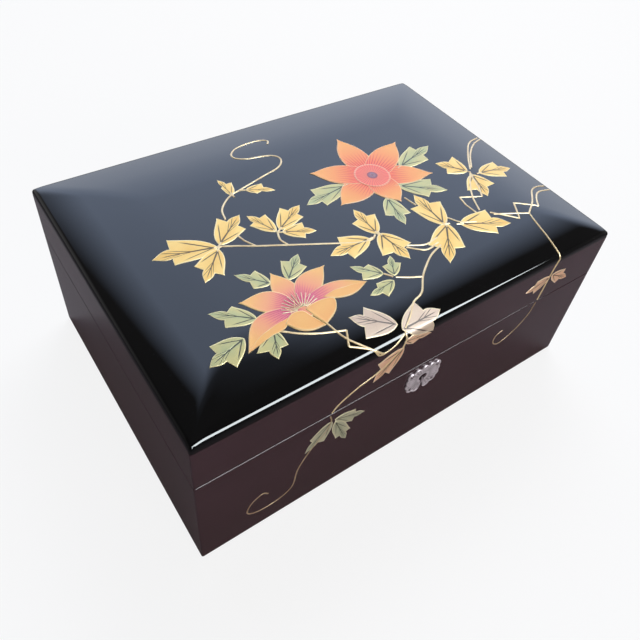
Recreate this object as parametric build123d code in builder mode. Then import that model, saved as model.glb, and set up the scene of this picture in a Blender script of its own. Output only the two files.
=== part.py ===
# Musical jewelry box: mitred case and lid, lid-lifted tray, box lock and wind-up movement.
# Millimetres. Origin at the centre of the footprint on the table, +Z up, front towards -Y.
from build123d import *
from math import atan2, cos, degrees, hypot, radians, sin
import os

os.makedirs("parts", exist_ok=True)

# Outside of the closed box
box_length = 254.0
box_depth = 180.0
seam_height = 70.3
rim_height = 101.7
crown_rise = 7.5
crown_band = 47.0
rim_round = 1.2
corner_round = 1.0
seam_round = 0.45
seam_gap = 0.3

# Boards, panels and linings
wall = 9.0
panel_thickness = 4.0
panel_height = 14.0
panel_tongue = 3.0
top_panel_edge = 3.7
lining = 1.0
lining_drop = 1.0
pad_height = 0.8
pad_radius = 3.8
floor_lining_height = 2.0

# Clearances
board_fit = 0.1
run_fit = 0.05
pin_fit = 0.1
side_gap = 0.3
hole_fit = 0.05

# Butt hinges
hinge_spacing = 156.0
hinge_length = 32.0
leaf_width = 8.0
leaf_thickness = 1.2
knuckle_radius = 2.2
hinge_pin_radius = 1.1
hinge_setback = 0.6
knuckle_gap = 0.2
hinge_screw_spacing = 10.0

# Countersunk wood screws
screw_head_radius = 2.0
screw_head_height = 1.0
screw_radius = 1.0
screw_length = 7.0

# Box lock and escutcheon
lock_width = 30.0
lock_drop = 22.0
lock_skin = 2.6
bolt_width = 1.8
bolt_height = 2.8
bolt_length = 14.0
bolt_throw = 4.5
bolt_drop = 6.0
bolt_clearance = 0.1
loop_thickness = 1.6
loop_wall = 0.9
loop_margin = 1.2
loop_travel_gap = 0.6
strike_width = 28.0
strike_depth = 5.6
strike_thickness = 1.2
strike_screw_spacing = 20.0
plate_thickness = 0.9
plate_centre_height = 58.7
plate_lobe_radius = 2.4
plate_lobes = [(0.0, 6.6), (4.5, 6.1), (8.6, 5.2), (8.9, 1.4), (8.9, -2.4), (7.4, -5.8), (3.6, -7.7)]
plate_pin_radius = 0.6
plate_pin_head = 1.0
plate_pin_rise = 0.5
keyhole_radius = 1.9
keyhole_slot = 1.6
keyhole_drop = 4.7

# Mirror and its frame in the lid
mirror_length = 206.0
mirror_depth = 134.0
mirror_thickness = 2.5
mirror_lip = 4.0
frame_thickness = 6.4

# Lift-up tray
tray_base = 47.0
tray_height = 20.0
tray_depth = 106.0
tray_front_gap = 4.0
tray_side_gap = 1.0
tray_wall = 3.0
tray_floor_thickness = 2.5
tray_lining_height = 1.0
divider_thickness = 2.0
divider_drop = 1.0
roll_bay_length = 94.0
small_bay_length = 60.0
middle_bay_depth = 46.0
roll_count = 7
roll_height = 12.0
roll_slit = 0.8
roll_end_gap = 1.2
roll_end_round = 1.6
roll_crown = 3.8

# Arms that carry the tray and the links that tie them to the lid
arm_length = 45.0
arm_width = 8.0
arm_thickness = 1.5
arm_pivot_height = 58.0
arm_pivot_back = 33.6
arm_stagger = 62.0
arm_step = 8.0
link_width = 6.0
link_thickness = 1.5
link_reach = 25.0
pivot_radius = 1.5
pivot_head_radius = 3.0
pivot_head = 1.0
pivot_depth = 4.0
rivet_head_radius = 2.5
rivet_head = 0.8
bracket_width = 8.0
bracket_height = 21.0
bracket_screw_low = 9.0
bracket_screw_pitch = 7.5

# Music compartment
partition = 3.0
bay_length = 67.0
bay_depth = 60.0
bay_height = 26.0
cover_thickness = 1.5
cover_gap = 0.3
ledge_width = 3.0
ledge_height = 4.0
lower_divider_height = 24.0
lower_divider_x = 36.0

# Wind-up movement, its centre placed from the compartment's front left corner
movement_side_inset = 35.0
movement_front_inset = 32.0
bed_length = 55.0
bed_depth = 47.0
bed_thickness = 2.0
axis_offset = 5.0
barrel_offset = 15.0
barrel_radius = 10.0
barrel_height = 7.0
barrel_lift = 0.6
barrel_wall = 0.8
barrel_hub_radius = 3.4
contrate_teeth = 48
contrate_tooth_width = 0.4
contrate_tooth_height = 0.9
contrate_face = 1.4
mesh_gap = 0.15
drum_radius = 6.5
drum_length = 22.0
part_gap = 0.4
drum_start = -2.0
pin_radius = 0.25
pin_height = 0.6
pins_per_row = 4
pin_row_turn = 37.0
cylinder_arbor_radius = 1.0
pinion_teeth = 16
pinion_module = 0.4
pinion_width = 2.0
great_teeth = 40
great_width = 1.4
wheel_module = 0.4
wheel_pinion_teeth = 10
wheel_teeth = 24
wheel_width = 1.6
wheel_arbor_radius = 0.7
wheel_direction = -20.0
tooth_clear = 0.12
tooth_rise = 0.85
tooth_drop = 1.1
tooth_foot = 0.68
tooth_point = 0.36
tooth_overlap = 0.9
bearing_thickness = 1.0
bearing_width = 9.0
bearing_rise = 3.0
worm_radius = 1.2
worm_height = 7.0
worm_gap = 0.3
worm_arbor_radius = 0.6
fan_width = 10.0
fan_height = 5.0
fan_thickness = 0.4
governor_flange = 1.0
post_reach = 1.5
comb_teeth = 18
comb_pitch = 1.2
comb_slot = 0.3
comb_thickness = 1.0
comb_tooth_length = 12.5
comb_heel = 6.0
comb_gap = 0.2
comb_screw_radius = 1.5
comb_screw_head = 1.0
comb_screw_head_radius = 2.4
comb_screw_shares = (0.15, 0.5, 0.85)
bed_screw_radius = 1.4
bed_screw_head_radius = 2.8
bed_screw_head = 1.4
bed_screw_inset = 5.0

# Winding key and stop plunger
arbor_radius = 2.0
arbor_drop = 5.0
key_hub_radius = 3.6
key_hub_height = 8.0
key_wing_span = 24.0
key_wing_height = 9.0
key_wing_thickness = 1.8
key_eye_radius = 2.4
key_gap = 0.6
plunger_radius = 1.1
plunger_channel = 3.0
plunger_depth = 4.0
plunger_bottom = 36.0
stop_wire_radius = 0.5
stop_wire_height = 38.0
stop_gap = 0.3

# Values worked out from the sizes above
half_length = box_length / 2
half_depth = box_depth / 2
in_length = half_length - wall
in_depth = half_depth - wall
clear_length = in_length - lining
clear_depth = in_depth - lining
movement_x = -clear_length + movement_side_inset
movement_y = -clear_depth + movement_front_inset
case_rim = seam_height - seam_gap / 2
lid_rim = seam_height + seam_gap / 2
floor_height = panel_height + panel_thickness
top_underside = rim_height - top_panel_edge
crown_radius = (crown_band**2 + crown_rise**2) / (2 * crown_rise)
hinge_y = half_depth + hinge_setback
frame_bottom = top_underside - frame_thickness

arm_out = clear_length - side_gap
arm_in = arm_out - arm_thickness
link_out = arm_in - side_gap
link_in = link_out - link_thickness
tray_side = link_in - side_gap - rivet_head - tray_side_gap
tray_front = -clear_depth + tray_front_gap
tray_back = tray_front + tray_depth
tray_top = tray_base + tray_height
tray_inside = tray_base + tray_floor_thickness
rear_pivot = (hinge_y - arm_pivot_back, arm_pivot_height)
front_pivot = (rear_pivot[0] - arm_stagger, arm_pivot_height - arm_step)
rear_tray_pivot = (rear_pivot[0] - arm_length, rear_pivot[1])
front_tray_pivot = (front_pivot[0] - arm_length, front_pivot[1])
link_arm_pivot = (rear_pivot[0] - link_reach, rear_pivot[1])
link_lid_pivot = (hinge_y - link_reach, seam_height)


def bar(x0, x1, y0, y1, z0, z1, mode=Mode.ADD):
    """A block between two limits along each axis."""
    with Locations(((x0 + x1) / 2, (y0 + y1) / 2, (z0 + z1) / 2)):
        Box(x1 - x0, y1 - y0, z1 - z0, mode=mode)


def rod_x(x0, x1, y, z, radius, mode=Mode.ADD):
    """A round bar along X."""
    with BuildSketch(Plane.YZ.offset(x0)) as section:
        with Locations((y, z)):
            Circle(radius)
    extrude(section.sketch, amount=x1 - x0, mode=mode)


def rod_y(x, z, y0, y1, radius, mode=Mode.ADD):
    """A round bar along Y."""
    with BuildSketch(Plane.XZ.offset(-y1)) as section:
        with Locations((x, z)):
            Circle(radius)
    extrude(section.sketch, amount=y1 - y0, mode=mode)


def rod_z(x, y, z0, z1, radius, mode=Mode.ADD):
    """A round bar along Z."""
    with BuildSketch(Plane.XY.offset(z0)) as section:
        with Locations((x, y)):
            Circle(radius)
    extrude(section.sketch, amount=z1 - z0, mode=mode)


def screw(head, grow, mode):
    """A countersunk screw on a plane that lies on its head and faces the way its point goes."""
    with BuildSketch(head) as rim:
        Circle(screw_head_radius + grow)
    with BuildSketch(head.offset(screw_head_height)) as neck:
        Circle(screw_radius + grow)
    with BuildSketch(head) as shank:
        Circle(screw_radius + grow)
    loft([rim.sketch.face(), neck.sketch.face()], mode=mode)
    extrude(shank.sketch, amount=screw_length + grow, mode=mode)


def wood_screw(x, y, z, direction, grow=0.0, mode=Mode.ADD):
    """A screw driven straight down or up, its head flush at z."""
    screw(Plane((x, y, z), z_dir=(0, 0, direction)), grow, mode)


def side_screw(y, z, x_head, grow=0.0, mode=Mode.ADD):
    """A screw driven into the right-hand wall, its head flush at x_head."""
    screw(Plane((x_head, y, z), z_dir=(1, 0, 0)), grow, mode)


def toothed_wheel(x0, x1, y, z, teeth, module, start):
    """A small clock wheel whose axis runs along X: a round with a trapezium for each tooth."""
    wheel_plane = Plane((x0, y, z), x_dir=(0, 1, 0), z_dir=(1, 0, 0))
    root = module * (teeth / 2 - tooth_drop) - tooth_clear
    tip = module * (teeth / 2 + tooth_rise)
    foot = module * tooth_foot
    point = module * tooth_point
    inner = root * tooth_overlap
    with BuildSketch(wheel_plane) as outline:
        Circle(root)
        with PolarLocations(0, teeth, start_angle=start):
            Polygon((inner, -foot), (tip, -point), (tip, point), (inner, foot), align=None)
    extrude(outline.sketch, amount=x1 - x0)


# Case walls, made as one grooved ring and parted at the mitres
with BuildPart() as case_ring:
    with BuildSketch(Plane.XY.offset(pad_height)):
        RectangleRounded(box_length, box_depth, corner_round)
        Rectangle(2 * in_length, 2 * in_depth, mode=Mode.SUBTRACT)
    extrude(amount=case_rim - pad_height)
    fillet(case_ring.faces().sort_by(Axis.Z)[-1].outer_wire().edges(), seam_round)
    fillet(case_ring.faces().sort_by(Axis.Z)[0].outer_wire().edges(), seam_round)
    with BuildSketch(Plane.XY.offset(panel_height - board_fit)):
        Rectangle(2 * (in_length + panel_tongue), 2 * (in_depth + panel_tongue))
    extrude(amount=panel_thickness + 2 * board_fit, mode=Mode.SUBTRACT)

# Lid walls, made and parted the same way
with BuildPart() as lid_ring:
    with BuildSketch(Plane.XY.offset(lid_rim)):
        RectangleRounded(box_length, box_depth, corner_round)
        Rectangle(2 * in_length, 2 * in_depth, mode=Mode.SUBTRACT)
    extrude(amount=top_underside - lid_rim)
    fillet(lid_ring.faces().sort_by(Axis.Z)[0].outer_wire().edges(), seam_round)

# Mitre planes at the four corners, each facing away from the front or back wall
front_right_mitre = Plane((half_length, -half_depth, 0), z_dir=(1, 1, 0))
front_left_mitre = Plane((-half_length, -half_depth, 0), z_dir=(-1, 1, 0))
back_right_mitre = Plane((half_length, half_depth, 0), z_dir=(1, -1, 0))
back_left_mitre = Plane((-half_length, half_depth, 0), z_dir=(-1, -1, 0))

# Places shared by the lock and what it meets
lock_bottom = case_rim - lock_drop
lock_front = -half_depth + lock_skin
lock_back = -in_depth
lock_mid = (lock_front + lock_back) / 2
bolt_top = case_rim - bolt_drop
bolt_bottom = bolt_top - bolt_height
bolt_tip = loop_travel_gap
loop_left = bolt_tip + loop_travel_gap
loop_width = bolt_width + 2 * (bolt_clearance + side_gap + loop_wall)
loop_bottom = bolt_bottom - side_gap - loop_margin
strike_front = lock_mid - strike_depth / 2
strike_back = lock_mid + strike_depth / 2

# Places shared by the movement and its compartment
bay_right = -clear_length + bay_length
bay_back = -clear_depth + bay_depth
bay_top = floor_height + bay_height
bed_top = floor_height + bed_thickness
axis_y = movement_y - axis_offset
barrel_x = movement_x - barrel_offset
barrel_bottom = bed_top + barrel_lift
barrel_top = barrel_bottom + barrel_height
pinion_tip = pinion_module * (pinion_teeth / 2 + tooth_rise)
axis_z = barrel_top + mesh_gap + pinion_tip
drum_left = movement_x + drum_start
drum_right = drum_left + drum_length
pinion_x = barrel_x + barrel_radius - contrate_face / 2
left_bearing_x = pinion_x + pinion_width / 2 + part_gap + side_gap
great_x = drum_right + part_gap
wheel_x = great_x + great_width + 2 * part_gap
bearing_x = wheel_x + wheel_width + part_gap
post_x = drum_right - bearing_thickness - part_gap
wheel_spacing = wheel_module * (great_teeth + wheel_pinion_teeth) / 2
wheel_y = axis_y - wheel_spacing * cos(radians(wheel_direction))
wheel_z = axis_z + wheel_spacing * sin(radians(wheel_direction))
worm_y = wheel_y - wheel_module * (wheel_teeth / 2 + tooth_rise) - worm_gap - worm_radius
lower_flange = wheel_z - worm_height / 2 - part_gap - governor_flange
upper_flange = wheel_z + worm_height / 2 + part_gap
fan_bottom = upper_flange + governor_flange + part_gap
fan_x = wheel_x + wheel_width / 2
plunger_x = fan_x
plunger_y = -in_depth - plunger_depth + plunger_channel / 2
plunger_hole = plunger_channel / 2


def keyhole(y0, y1):
    """Cut the keyhole, a round with a slot below it, through the current part."""
    rod_y(0, plate_centre_height, y0, y1, keyhole_radius, Mode.SUBTRACT)
    slot = keyhole_slot / 2
    bar(-slot, slot, y0, y1, plate_centre_height - keyhole_drop, plate_centre_height, Mode.SUBTRACT)


def hinge_mortise(rim, direction):
    """Cut the seats of both hinges into a back board; direction points into the wood."""
    for x in (-hinge_spacing / 2, hinge_spacing / 2):
        half = hinge_length / 2 + board_fit
        low, high = sorted((rim, rim + direction * leaf_thickness))
        bar(x - half, x + half, half_depth - leaf_width - board_fit, half_depth,
            low, high, Mode.SUBTRACT)
        rod_x(x - half, x + half, hinge_y, seam_height, knuckle_radius + side_gap, Mode.SUBTRACT)
        for step in (-hinge_screw_spacing, 0, hinge_screw_spacing):
            wood_screw(x + step, hinge_screw_y, rim, direction, hole_fit, Mode.SUBTRACT)


hinge_screw_y = half_depth - leaf_width / 2 - knuckle_radius / 2

with BuildPart() as front_board:
    add(case_ring.part)
    split(bisect_by=front_right_mitre, keep=Keep.BOTTOM)
    split(bisect_by=front_left_mitre, keep=Keep.BOTTOM)
    bar(-lock_width / 2 - board_fit, lock_width / 2 + board_fit, lock_front - board_fit, -in_depth,
        lock_bottom - board_fit, case_rim, Mode.SUBTRACT)
    keyhole(-half_depth, -in_depth)
    bar(plunger_x - plunger_hole, plunger_x + plunger_hole, -in_depth - plunger_depth, -in_depth,
        plunger_bottom - side_gap, case_rim, Mode.SUBTRACT)
front_board.part.label = "front_board"
export_step(front_board.part, "parts/front_board.step")

with BuildPart() as back_board:
    add(case_ring.part)
    split(bisect_by=back_right_mitre, keep=Keep.BOTTOM)
    split(bisect_by=back_left_mitre, keep=Keep.BOTTOM)
    hinge_mortise(case_rim, -1)
back_board.part.label = "back_board"
export_step(back_board.part, "parts/back_board.step")

with BuildPart() as right_board:
    add(case_ring.part)
    split(bisect_by=front_right_mitre, keep=Keep.TOP)
    split(bisect_by=back_right_mitre, keep=Keep.TOP)
    for pivot in (rear_pivot, front_pivot):
        rod_x(in_length, in_length + pivot_depth, *pivot, pivot_radius + hole_fit, Mode.SUBTRACT)
right_board.part.label = "right_board"
export_step(right_board.part, "parts/right_board.step")

with BuildPart() as left_board:
    add(right_board.part.mirror(Plane.YZ))
left_board.part.label = "left_board"
export_step(left_board.part, "parts/left_board.step")

# Bottom panel held in the groove, bored for the winding arbor and the movement's screws
bed_screw_reach = bed_length / 2 - bed_screw_inset
bed_screw_span = bed_depth / 2 - bed_screw_inset
bed_screws = [
    (movement_x - bed_screw_reach, movement_y - bed_screw_span),
    (movement_x - bed_screw_reach, movement_y + bed_screw_span),
    (movement_x + bed_screw_reach, movement_y + bed_screw_span),
]
with BuildPart() as bottom_panel:
    tongue = panel_tongue - board_fit
    bar(-in_length - tongue, in_length + tongue, -in_depth - tongue, in_depth + tongue,
        panel_height, floor_height)
    rod_z(barrel_x, axis_y, panel_height, floor_height, key_hub_radius + side_gap, Mode.SUBTRACT)
    for x, y in bed_screws:
        rod_z(x, y, panel_height, floor_height, bed_screw_radius + hole_fit, Mode.SUBTRACT)
bottom_panel.part.label = "bottom_panel"
export_step(bottom_panel.part, "parts/bottom_panel.step")

# Felt pads under the corners
with BuildPart() as felt_pads:
    with BuildSketch():
        with GridLocations(box_length - wall, box_depth - wall, 2, 2):
            Circle(pad_radius)
    extrude(amount=pad_height)
felt_pads.part.label = "felt_pads"
export_step(felt_pads.part, "parts/felt_pads.step")

# Velvet on the inside of the case walls
with BuildPart() as case_lining:
    with BuildSketch(Plane.XY.offset(floor_height)):
        Rectangle(2 * in_length, 2 * in_depth)
        Rectangle(2 * clear_length, 2 * clear_depth, mode=Mode.SUBTRACT)
    extrude(amount=case_rim - lining_drop - floor_height)
    for side in (-1, 1):
        for pivot in (rear_pivot, front_pivot):
            low, high = sorted((side * clear_length, side * in_length))
            rod_x(low, high, *pivot, pivot_radius + hole_fit, Mode.SUBTRACT)
    bar(plunger_x - plunger_hole, plunger_x + plunger_hole, -in_depth, -clear_depth,
        plunger_bottom - side_gap, case_rim, Mode.SUBTRACT)
case_lining.part.label = "case_lining"
export_step(case_lining.part, "parts/case_lining.step")

# Velvet board on the floor of the storage space, cut round the music compartment
with BuildPart() as floor_lining:
    with BuildSketch(Plane.XY.offset(floor_height)):
        Rectangle(2 * clear_length, 2 * clear_depth)
        with Locations((-clear_length, -clear_depth)):
            Rectangle(bay_length + partition, bay_depth + partition, align=Align.MIN,
                      mode=Mode.SUBTRACT)
    extrude(amount=floor_lining_height)
floor_lining.part.label = "floor_lining"
export_step(floor_lining.part, "parts/floor_lining.step")

# Two partitions round the music compartment
with BuildPart() as music_partitions:
    bar(bay_right, bay_right + partition, -clear_depth, bay_back + partition, floor_height, bay_top)
    bar(-clear_length, bay_right - board_fit, bay_back, bay_back + partition, floor_height, bay_top)
music_partitions.part.label = "music_partitions"
export_step(music_partitions.part, "parts/music_partitions.step")

# Ledges on the two outer walls carry the clear cover
ledge_end = plunger_x - plunger_channel
with BuildPart() as cover_ledges:
    bar(-clear_length, ledge_end, -clear_depth, -clear_depth + ledge_width,
        bay_top - ledge_height, bay_top)
    bar(-clear_length, -clear_length + ledge_width, -clear_depth + ledge_width + board_fit, bay_back,
        bay_top - ledge_height, bay_top)
cover_ledges.part.label = "cover_ledges"
export_step(cover_ledges.part, "parts/cover_ledges.step")

with BuildPart() as music_cover:
    bar(-clear_length + cover_gap, bay_right + partition - cover_gap, -clear_depth + cover_gap,
        bay_back + partition - cover_gap, bay_top, bay_top + cover_thickness)
    fillet(music_cover.faces().sort_by(Axis.Z)[-1].edges(), cover_thickness / 4)
music_cover.part.label = "music_cover"
export_step(music_cover.part, "parts/music_cover.step")

with BuildPart() as lower_divider:
    divider_low = floor_height + floor_lining_height
    bar(lower_divider_x, lower_divider_x + partition, -clear_depth, clear_depth,
        divider_low, divider_low + lower_divider_height)
    fillet(lower_divider.edges().filter_by(Axis.Y).group_by(Axis.Z)[-1], partition / 3)
lower_divider.part.label = "lower_divider"
export_step(lower_divider.part, "parts/lower_divider.step")

# Box lock: a brass case let into the front board, bored for the bolt, the loop and the key
with BuildPart() as lock_body:
    bar(-lock_width / 2, lock_width / 2, lock_front, lock_back, lock_bottom, case_rim)
    bar(bolt_tip - bolt_length - bolt_clearance, bolt_tip + bolt_throw + bolt_clearance,
        lock_mid - bolt_width / 2 - bolt_clearance, lock_mid + bolt_width / 2 + bolt_clearance,
        bolt_bottom - bolt_clearance, bolt_top + bolt_clearance, Mode.SUBTRACT)
    bar(loop_left - side_gap, loop_left + loop_thickness + side_gap,
        lock_mid - loop_width / 2 - loop_travel_gap, lock_mid + loop_width / 2 + loop_travel_gap,
        loop_bottom - side_gap, case_rim, Mode.SUBTRACT)
    keyhole(lock_front, lock_mid)
lock_body.part.label = "lock_body"
export_step(lock_body.part, "parts/lock_body.step")

with BuildPart() as lock_bolt:
    bar(bolt_tip - bolt_length, bolt_tip, lock_mid - bolt_width / 2, lock_mid + bolt_width / 2,
        bolt_bottom, bolt_top)
    chamfer(lock_bolt.faces().sort_by(Axis.X)[-1].edges().filter_by(Axis.Y), bolt_width / 4)
lock_bolt.part.label = "lock_bolt"
export_step(lock_bolt.part, "parts/lock_bolt.step")

# Scalloped escutcheon with its keyhole and four pins
plate_front = -half_depth - plate_thickness
plate_right = [(x, plate_centre_height + rise) for x, rise in plate_lobes]
plate_left = [(-x, z) for x, z in plate_right[:0:-1]]
plate_pins = [(side * x, z) for x, z in plate_right[2::3] for side in (-1, 1)]
with BuildPart() as escutcheon:
    with BuildSketch(Plane.XZ.offset(half_depth)):
        Polygon(*plate_right, *plate_left, align=None)
        with Locations(*plate_right, *plate_left):
            Circle(plate_lobe_radius)
    extrude(amount=plate_thickness)
    keyhole(plate_front, -half_depth)
    for x, z in plate_pins:
        rod_y(x, z, plate_front, -half_depth, plate_pin_radius + hole_fit, Mode.SUBTRACT)
escutcheon.part.label = "escutcheon"
export_step(escutcheon.part, "parts/escutcheon.step")

with BuildPart() as escutcheon_pins:
    for x, z in plate_pins:
        rod_y(x, z, plate_front, -half_depth, plate_pin_radius)
        rod_y(x, z, plate_front - plate_pin_rise, plate_front, plate_pin_head)
escutcheon_pins.part.label = "escutcheon_pins"
export_step(escutcheon_pins.part, "parts/escutcheon_pins.step")


def hinge_leaves(rim, direction, own):
    """Both hinges' leaves for one board; own lists which thirds of the knuckle belong to them."""
    third = hinge_length / 3
    low, high = sorted((rim, rim + direction * leaf_thickness))
    for x in (-hinge_spacing / 2, hinge_spacing / 2):
        plate_edge = hinge_y - knuckle_radius - side_gap
        bar(x - hinge_length / 2, x + hinge_length / 2, half_depth - leaf_width, plate_edge, low, high)
        for place in own:
            left = x - hinge_length / 2 + place * third + knuckle_gap / 2
            bar(left, left + third - knuckle_gap, plate_edge - side_gap, hinge_y, low, high)
            rod_x(left, left + third - knuckle_gap, hinge_y, seam_height, knuckle_radius)
        rod_x(x - hinge_length / 2, x + hinge_length / 2, hinge_y, seam_height,
              hinge_pin_radius + run_fit, Mode.SUBTRACT)
        for step in (-hinge_screw_spacing, 0, hinge_screw_spacing):
            wood_screw(x + step, hinge_screw_y, rim, direction, hole_fit, Mode.SUBTRACT)


with BuildPart() as hinge_leaves_case:
    hinge_leaves(case_rim, -1, (0, 2))
hinge_leaves_case.part.label = "hinge_leaves_case"
export_step(hinge_leaves_case.part, "parts/hinge_leaves_case.step")

with BuildPart() as hinge_leaves_lid:
    hinge_leaves(lid_rim, 1, (1,))
hinge_leaves_lid.part.label = "hinge_leaves_lid"
export_step(hinge_leaves_lid.part, "parts/hinge_leaves_lid.step")

with BuildPart() as hinge_pins:
    for x in (-hinge_spacing / 2, hinge_spacing / 2):
        rod_x(x - hinge_length / 2, x + hinge_length / 2, hinge_y, seam_height, hinge_pin_radius)
hinge_pins.part.label = "hinge_pins"
export_step(hinge_pins.part, "parts/hinge_pins.step")

with BuildPart() as hinge_screws_case:
    for x in (-hinge_spacing / 2, hinge_spacing / 2):
        for step in (-hinge_screw_spacing, 0, hinge_screw_spacing):
            wood_screw(x + step, hinge_screw_y, case_rim, -1)
hinge_screws_case.part.label = "hinge_screws_case"
export_step(hinge_screws_case.part, "parts/hinge_screws_case.step")

with BuildPart() as hinge_screws_lid:
    for x in (-hinge_spacing / 2, hinge_spacing / 2):
        for step in (-hinge_screw_spacing, 0, hinge_screw_spacing):
            wood_screw(x + step, hinge_screw_y, lid_rim, 1)
hinge_screws_lid.part.label = "hinge_screws_lid"
export_step(hinge_screws_lid.part, "parts/hinge_screws_lid.step")

# Lid rails
with BuildPart() as lid_front_rail:
    add(lid_ring.part)
    split(bisect_by=front_right_mitre, keep=Keep.BOTTOM)
    split(bisect_by=front_left_mitre, keep=Keep.BOTTOM)
    bar(-strike_width / 2 - board_fit, strike_width / 2 + board_fit, strike_front - board_fit,
        strike_back + board_fit, lid_rim, lid_rim + strike_thickness, Mode.SUBTRACT)
    for x in (-strike_screw_spacing / 2, strike_screw_spacing / 2):
        wood_screw(x, lock_mid, lid_rim, 1, hole_fit, Mode.SUBTRACT)
lid_front_rail.part.label = "lid_front_rail"
export_step(lid_front_rail.part, "parts/lid_front_rail.step")

with BuildPart() as lid_back_rail:
    add(lid_ring.part)
    split(bisect_by=back_right_mitre, keep=Keep.BOTTOM)
    split(bisect_by=back_left_mitre, keep=Keep.BOTTOM)
    hinge_mortise(lid_rim, 1)
lid_back_rail.part.label = "lid_back_rail"
export_step(lid_back_rail.part, "parts/lid_back_rail.step")

bracket_screws = [
    (link_lid_pivot[0], seam_height + bracket_screw_low),
    (link_lid_pivot[0], seam_height + bracket_screw_low + bracket_screw_pitch),
]
with BuildPart() as lid_right_rail:
    add(lid_ring.part)
    split(bisect_by=front_right_mitre, keep=Keep.TOP)
    split(bisect_by=back_right_mitre, keep=Keep.TOP)
    for y, z in bracket_screws:
        side_screw(y, z, arm_in, hole_fit, Mode.SUBTRACT)
lid_right_rail.part.label = "lid_right_rail"
export_step(lid_right_rail.part, "parts/lid_right_rail.step")

with BuildPart() as lid_left_rail:
    add(lid_right_rail.part.mirror(Plane.YZ))
lid_left_rail.part.label = "lid_left_rail"
export_step(lid_left_rail.part, "parts/lid_left_rail.step")


def crown_profile(plane, half_width):
    """The top panel's outline across one direction: upright edge, rolled border, flat middle."""
    top = rim_height + crown_rise
    flat = half_width - crown_band
    with BuildSketch(plane) as outline:
        with BuildLine():
            Line((-half_width, top_underside), (half_width, top_underside))
            Line((half_width, top_underside), (half_width, rim_height))
            RadiusArc((half_width, rim_height), (flat, top), -crown_radius)
            Line((flat, top), (-flat, top))
            RadiusArc((-flat, top), (-half_width, rim_height), -crown_radius)
            Line((-half_width, rim_height), (-half_width, top_underside))
        make_face()
        fillet(outline.vertices().group_by(Axis.Y)[1], rim_round)
    return outline.sketch


cross_profile = crown_profile(Plane.YZ.offset(-half_length), half_depth)
long_profile = crown_profile(Plane.XZ.offset(-half_depth), half_length)

# Crowned top panel: the meeting of two profiles swept across each other
with BuildPart() as lid_top_panel:
    extrude(cross_profile, amount=box_length)
    extrude(long_profile, amount=box_depth, mode=Mode.INTERSECT)
    with BuildSketch(Plane.XY.offset(top_underside)):
        RectangleRounded(box_length, box_depth, corner_round)
    extrude(amount=top_panel_edge + crown_rise, mode=Mode.INTERSECT)
lid_top_panel.part.label = "lid_top_panel"
export_step(lid_top_panel.part, "parts/lid_top_panel.step")

# Mirror in a velvet-covered frame under the top panel
with BuildPart() as mirror_glass:
    bar(-mirror_length / 2, mirror_length / 2, -mirror_depth / 2, mirror_depth / 2,
        top_underside - mirror_thickness, top_underside)
mirror_glass.part.label = "mirror_glass"
export_step(mirror_glass.part, "parts/mirror_glass.step")

with BuildPart() as mirror_frame:
    with BuildSketch(Plane.XY.offset(frame_bottom)):
        Rectangle(2 * (clear_length - board_fit), 2 * (clear_depth - board_fit))
        Rectangle(mirror_length - 2 * mirror_lip, mirror_depth - 2 * mirror_lip, mode=Mode.SUBTRACT)
    extrude(amount=frame_thickness)
    window = mirror_frame.faces().sort_by(Axis.Z)[0].inner_wires()[0].edges()
    fillet(window, frame_thickness / 3)
    with BuildSketch(Plane.XY.offset(top_underside - mirror_thickness - board_fit)):
        Rectangle(mirror_length + 2 * board_fit, mirror_depth + 2 * board_fit)
    extrude(amount=mirror_thickness + board_fit, mode=Mode.SUBTRACT)
mirror_frame.part.label = "mirror_frame"
export_step(mirror_frame.part, "parts/mirror_frame.step")

with BuildPart() as lid_lining:
    with BuildSketch(Plane.XY.offset(lid_rim + lining_drop)):
        Rectangle(2 * in_length, 2 * in_depth)
        Rectangle(2 * clear_length, 2 * clear_depth, mode=Mode.SUBTRACT)
    extrude(amount=top_underside - lid_rim - lining_drop)
    for y, z in bracket_screws:
        rod_x(clear_length, in_length, y, z, screw_radius + hole_fit, Mode.SUBTRACT)
        rod_x(-in_length, -clear_length, y, z, screw_radius + hole_fit, Mode.SUBTRACT)
lid_lining.part.label = "lid_lining"
export_step(lid_lining.part, "parts/lid_lining.step")

# Strike plate: let into the lid's front rail, with the loop that drops into the lock
with BuildPart() as strike_plate:
    bar(-strike_width / 2, strike_width / 2, strike_front, strike_back,
        lid_rim, lid_rim + strike_thickness)
    bar(loop_left, loop_left + loop_thickness, lock_mid - loop_width / 2, lock_mid + loop_width / 2,
        loop_bottom, lid_rim)
    bar(loop_left, loop_left + loop_thickness, lock_mid - loop_width / 2 + loop_wall,
        lock_mid + loop_width / 2 - loop_wall, bolt_bottom - side_gap, bolt_top + side_gap, Mode.SUBTRACT)
    for x in (-strike_screw_spacing / 2, strike_screw_spacing / 2):
        wood_screw(x, lock_mid, lid_rim, 1, hole_fit, Mode.SUBTRACT)
strike_plate.part.label = "strike_plate"
export_step(strike_plate.part, "parts/strike_plate.step")

with BuildPart() as strike_screws:
    for x in (-strike_screw_spacing / 2, strike_screw_spacing / 2):
        wood_screw(x, lock_mid, lid_rim, 1)
strike_screws.part.label = "strike_screws"
export_step(strike_screws.part, "parts/strike_screws.step")

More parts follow.
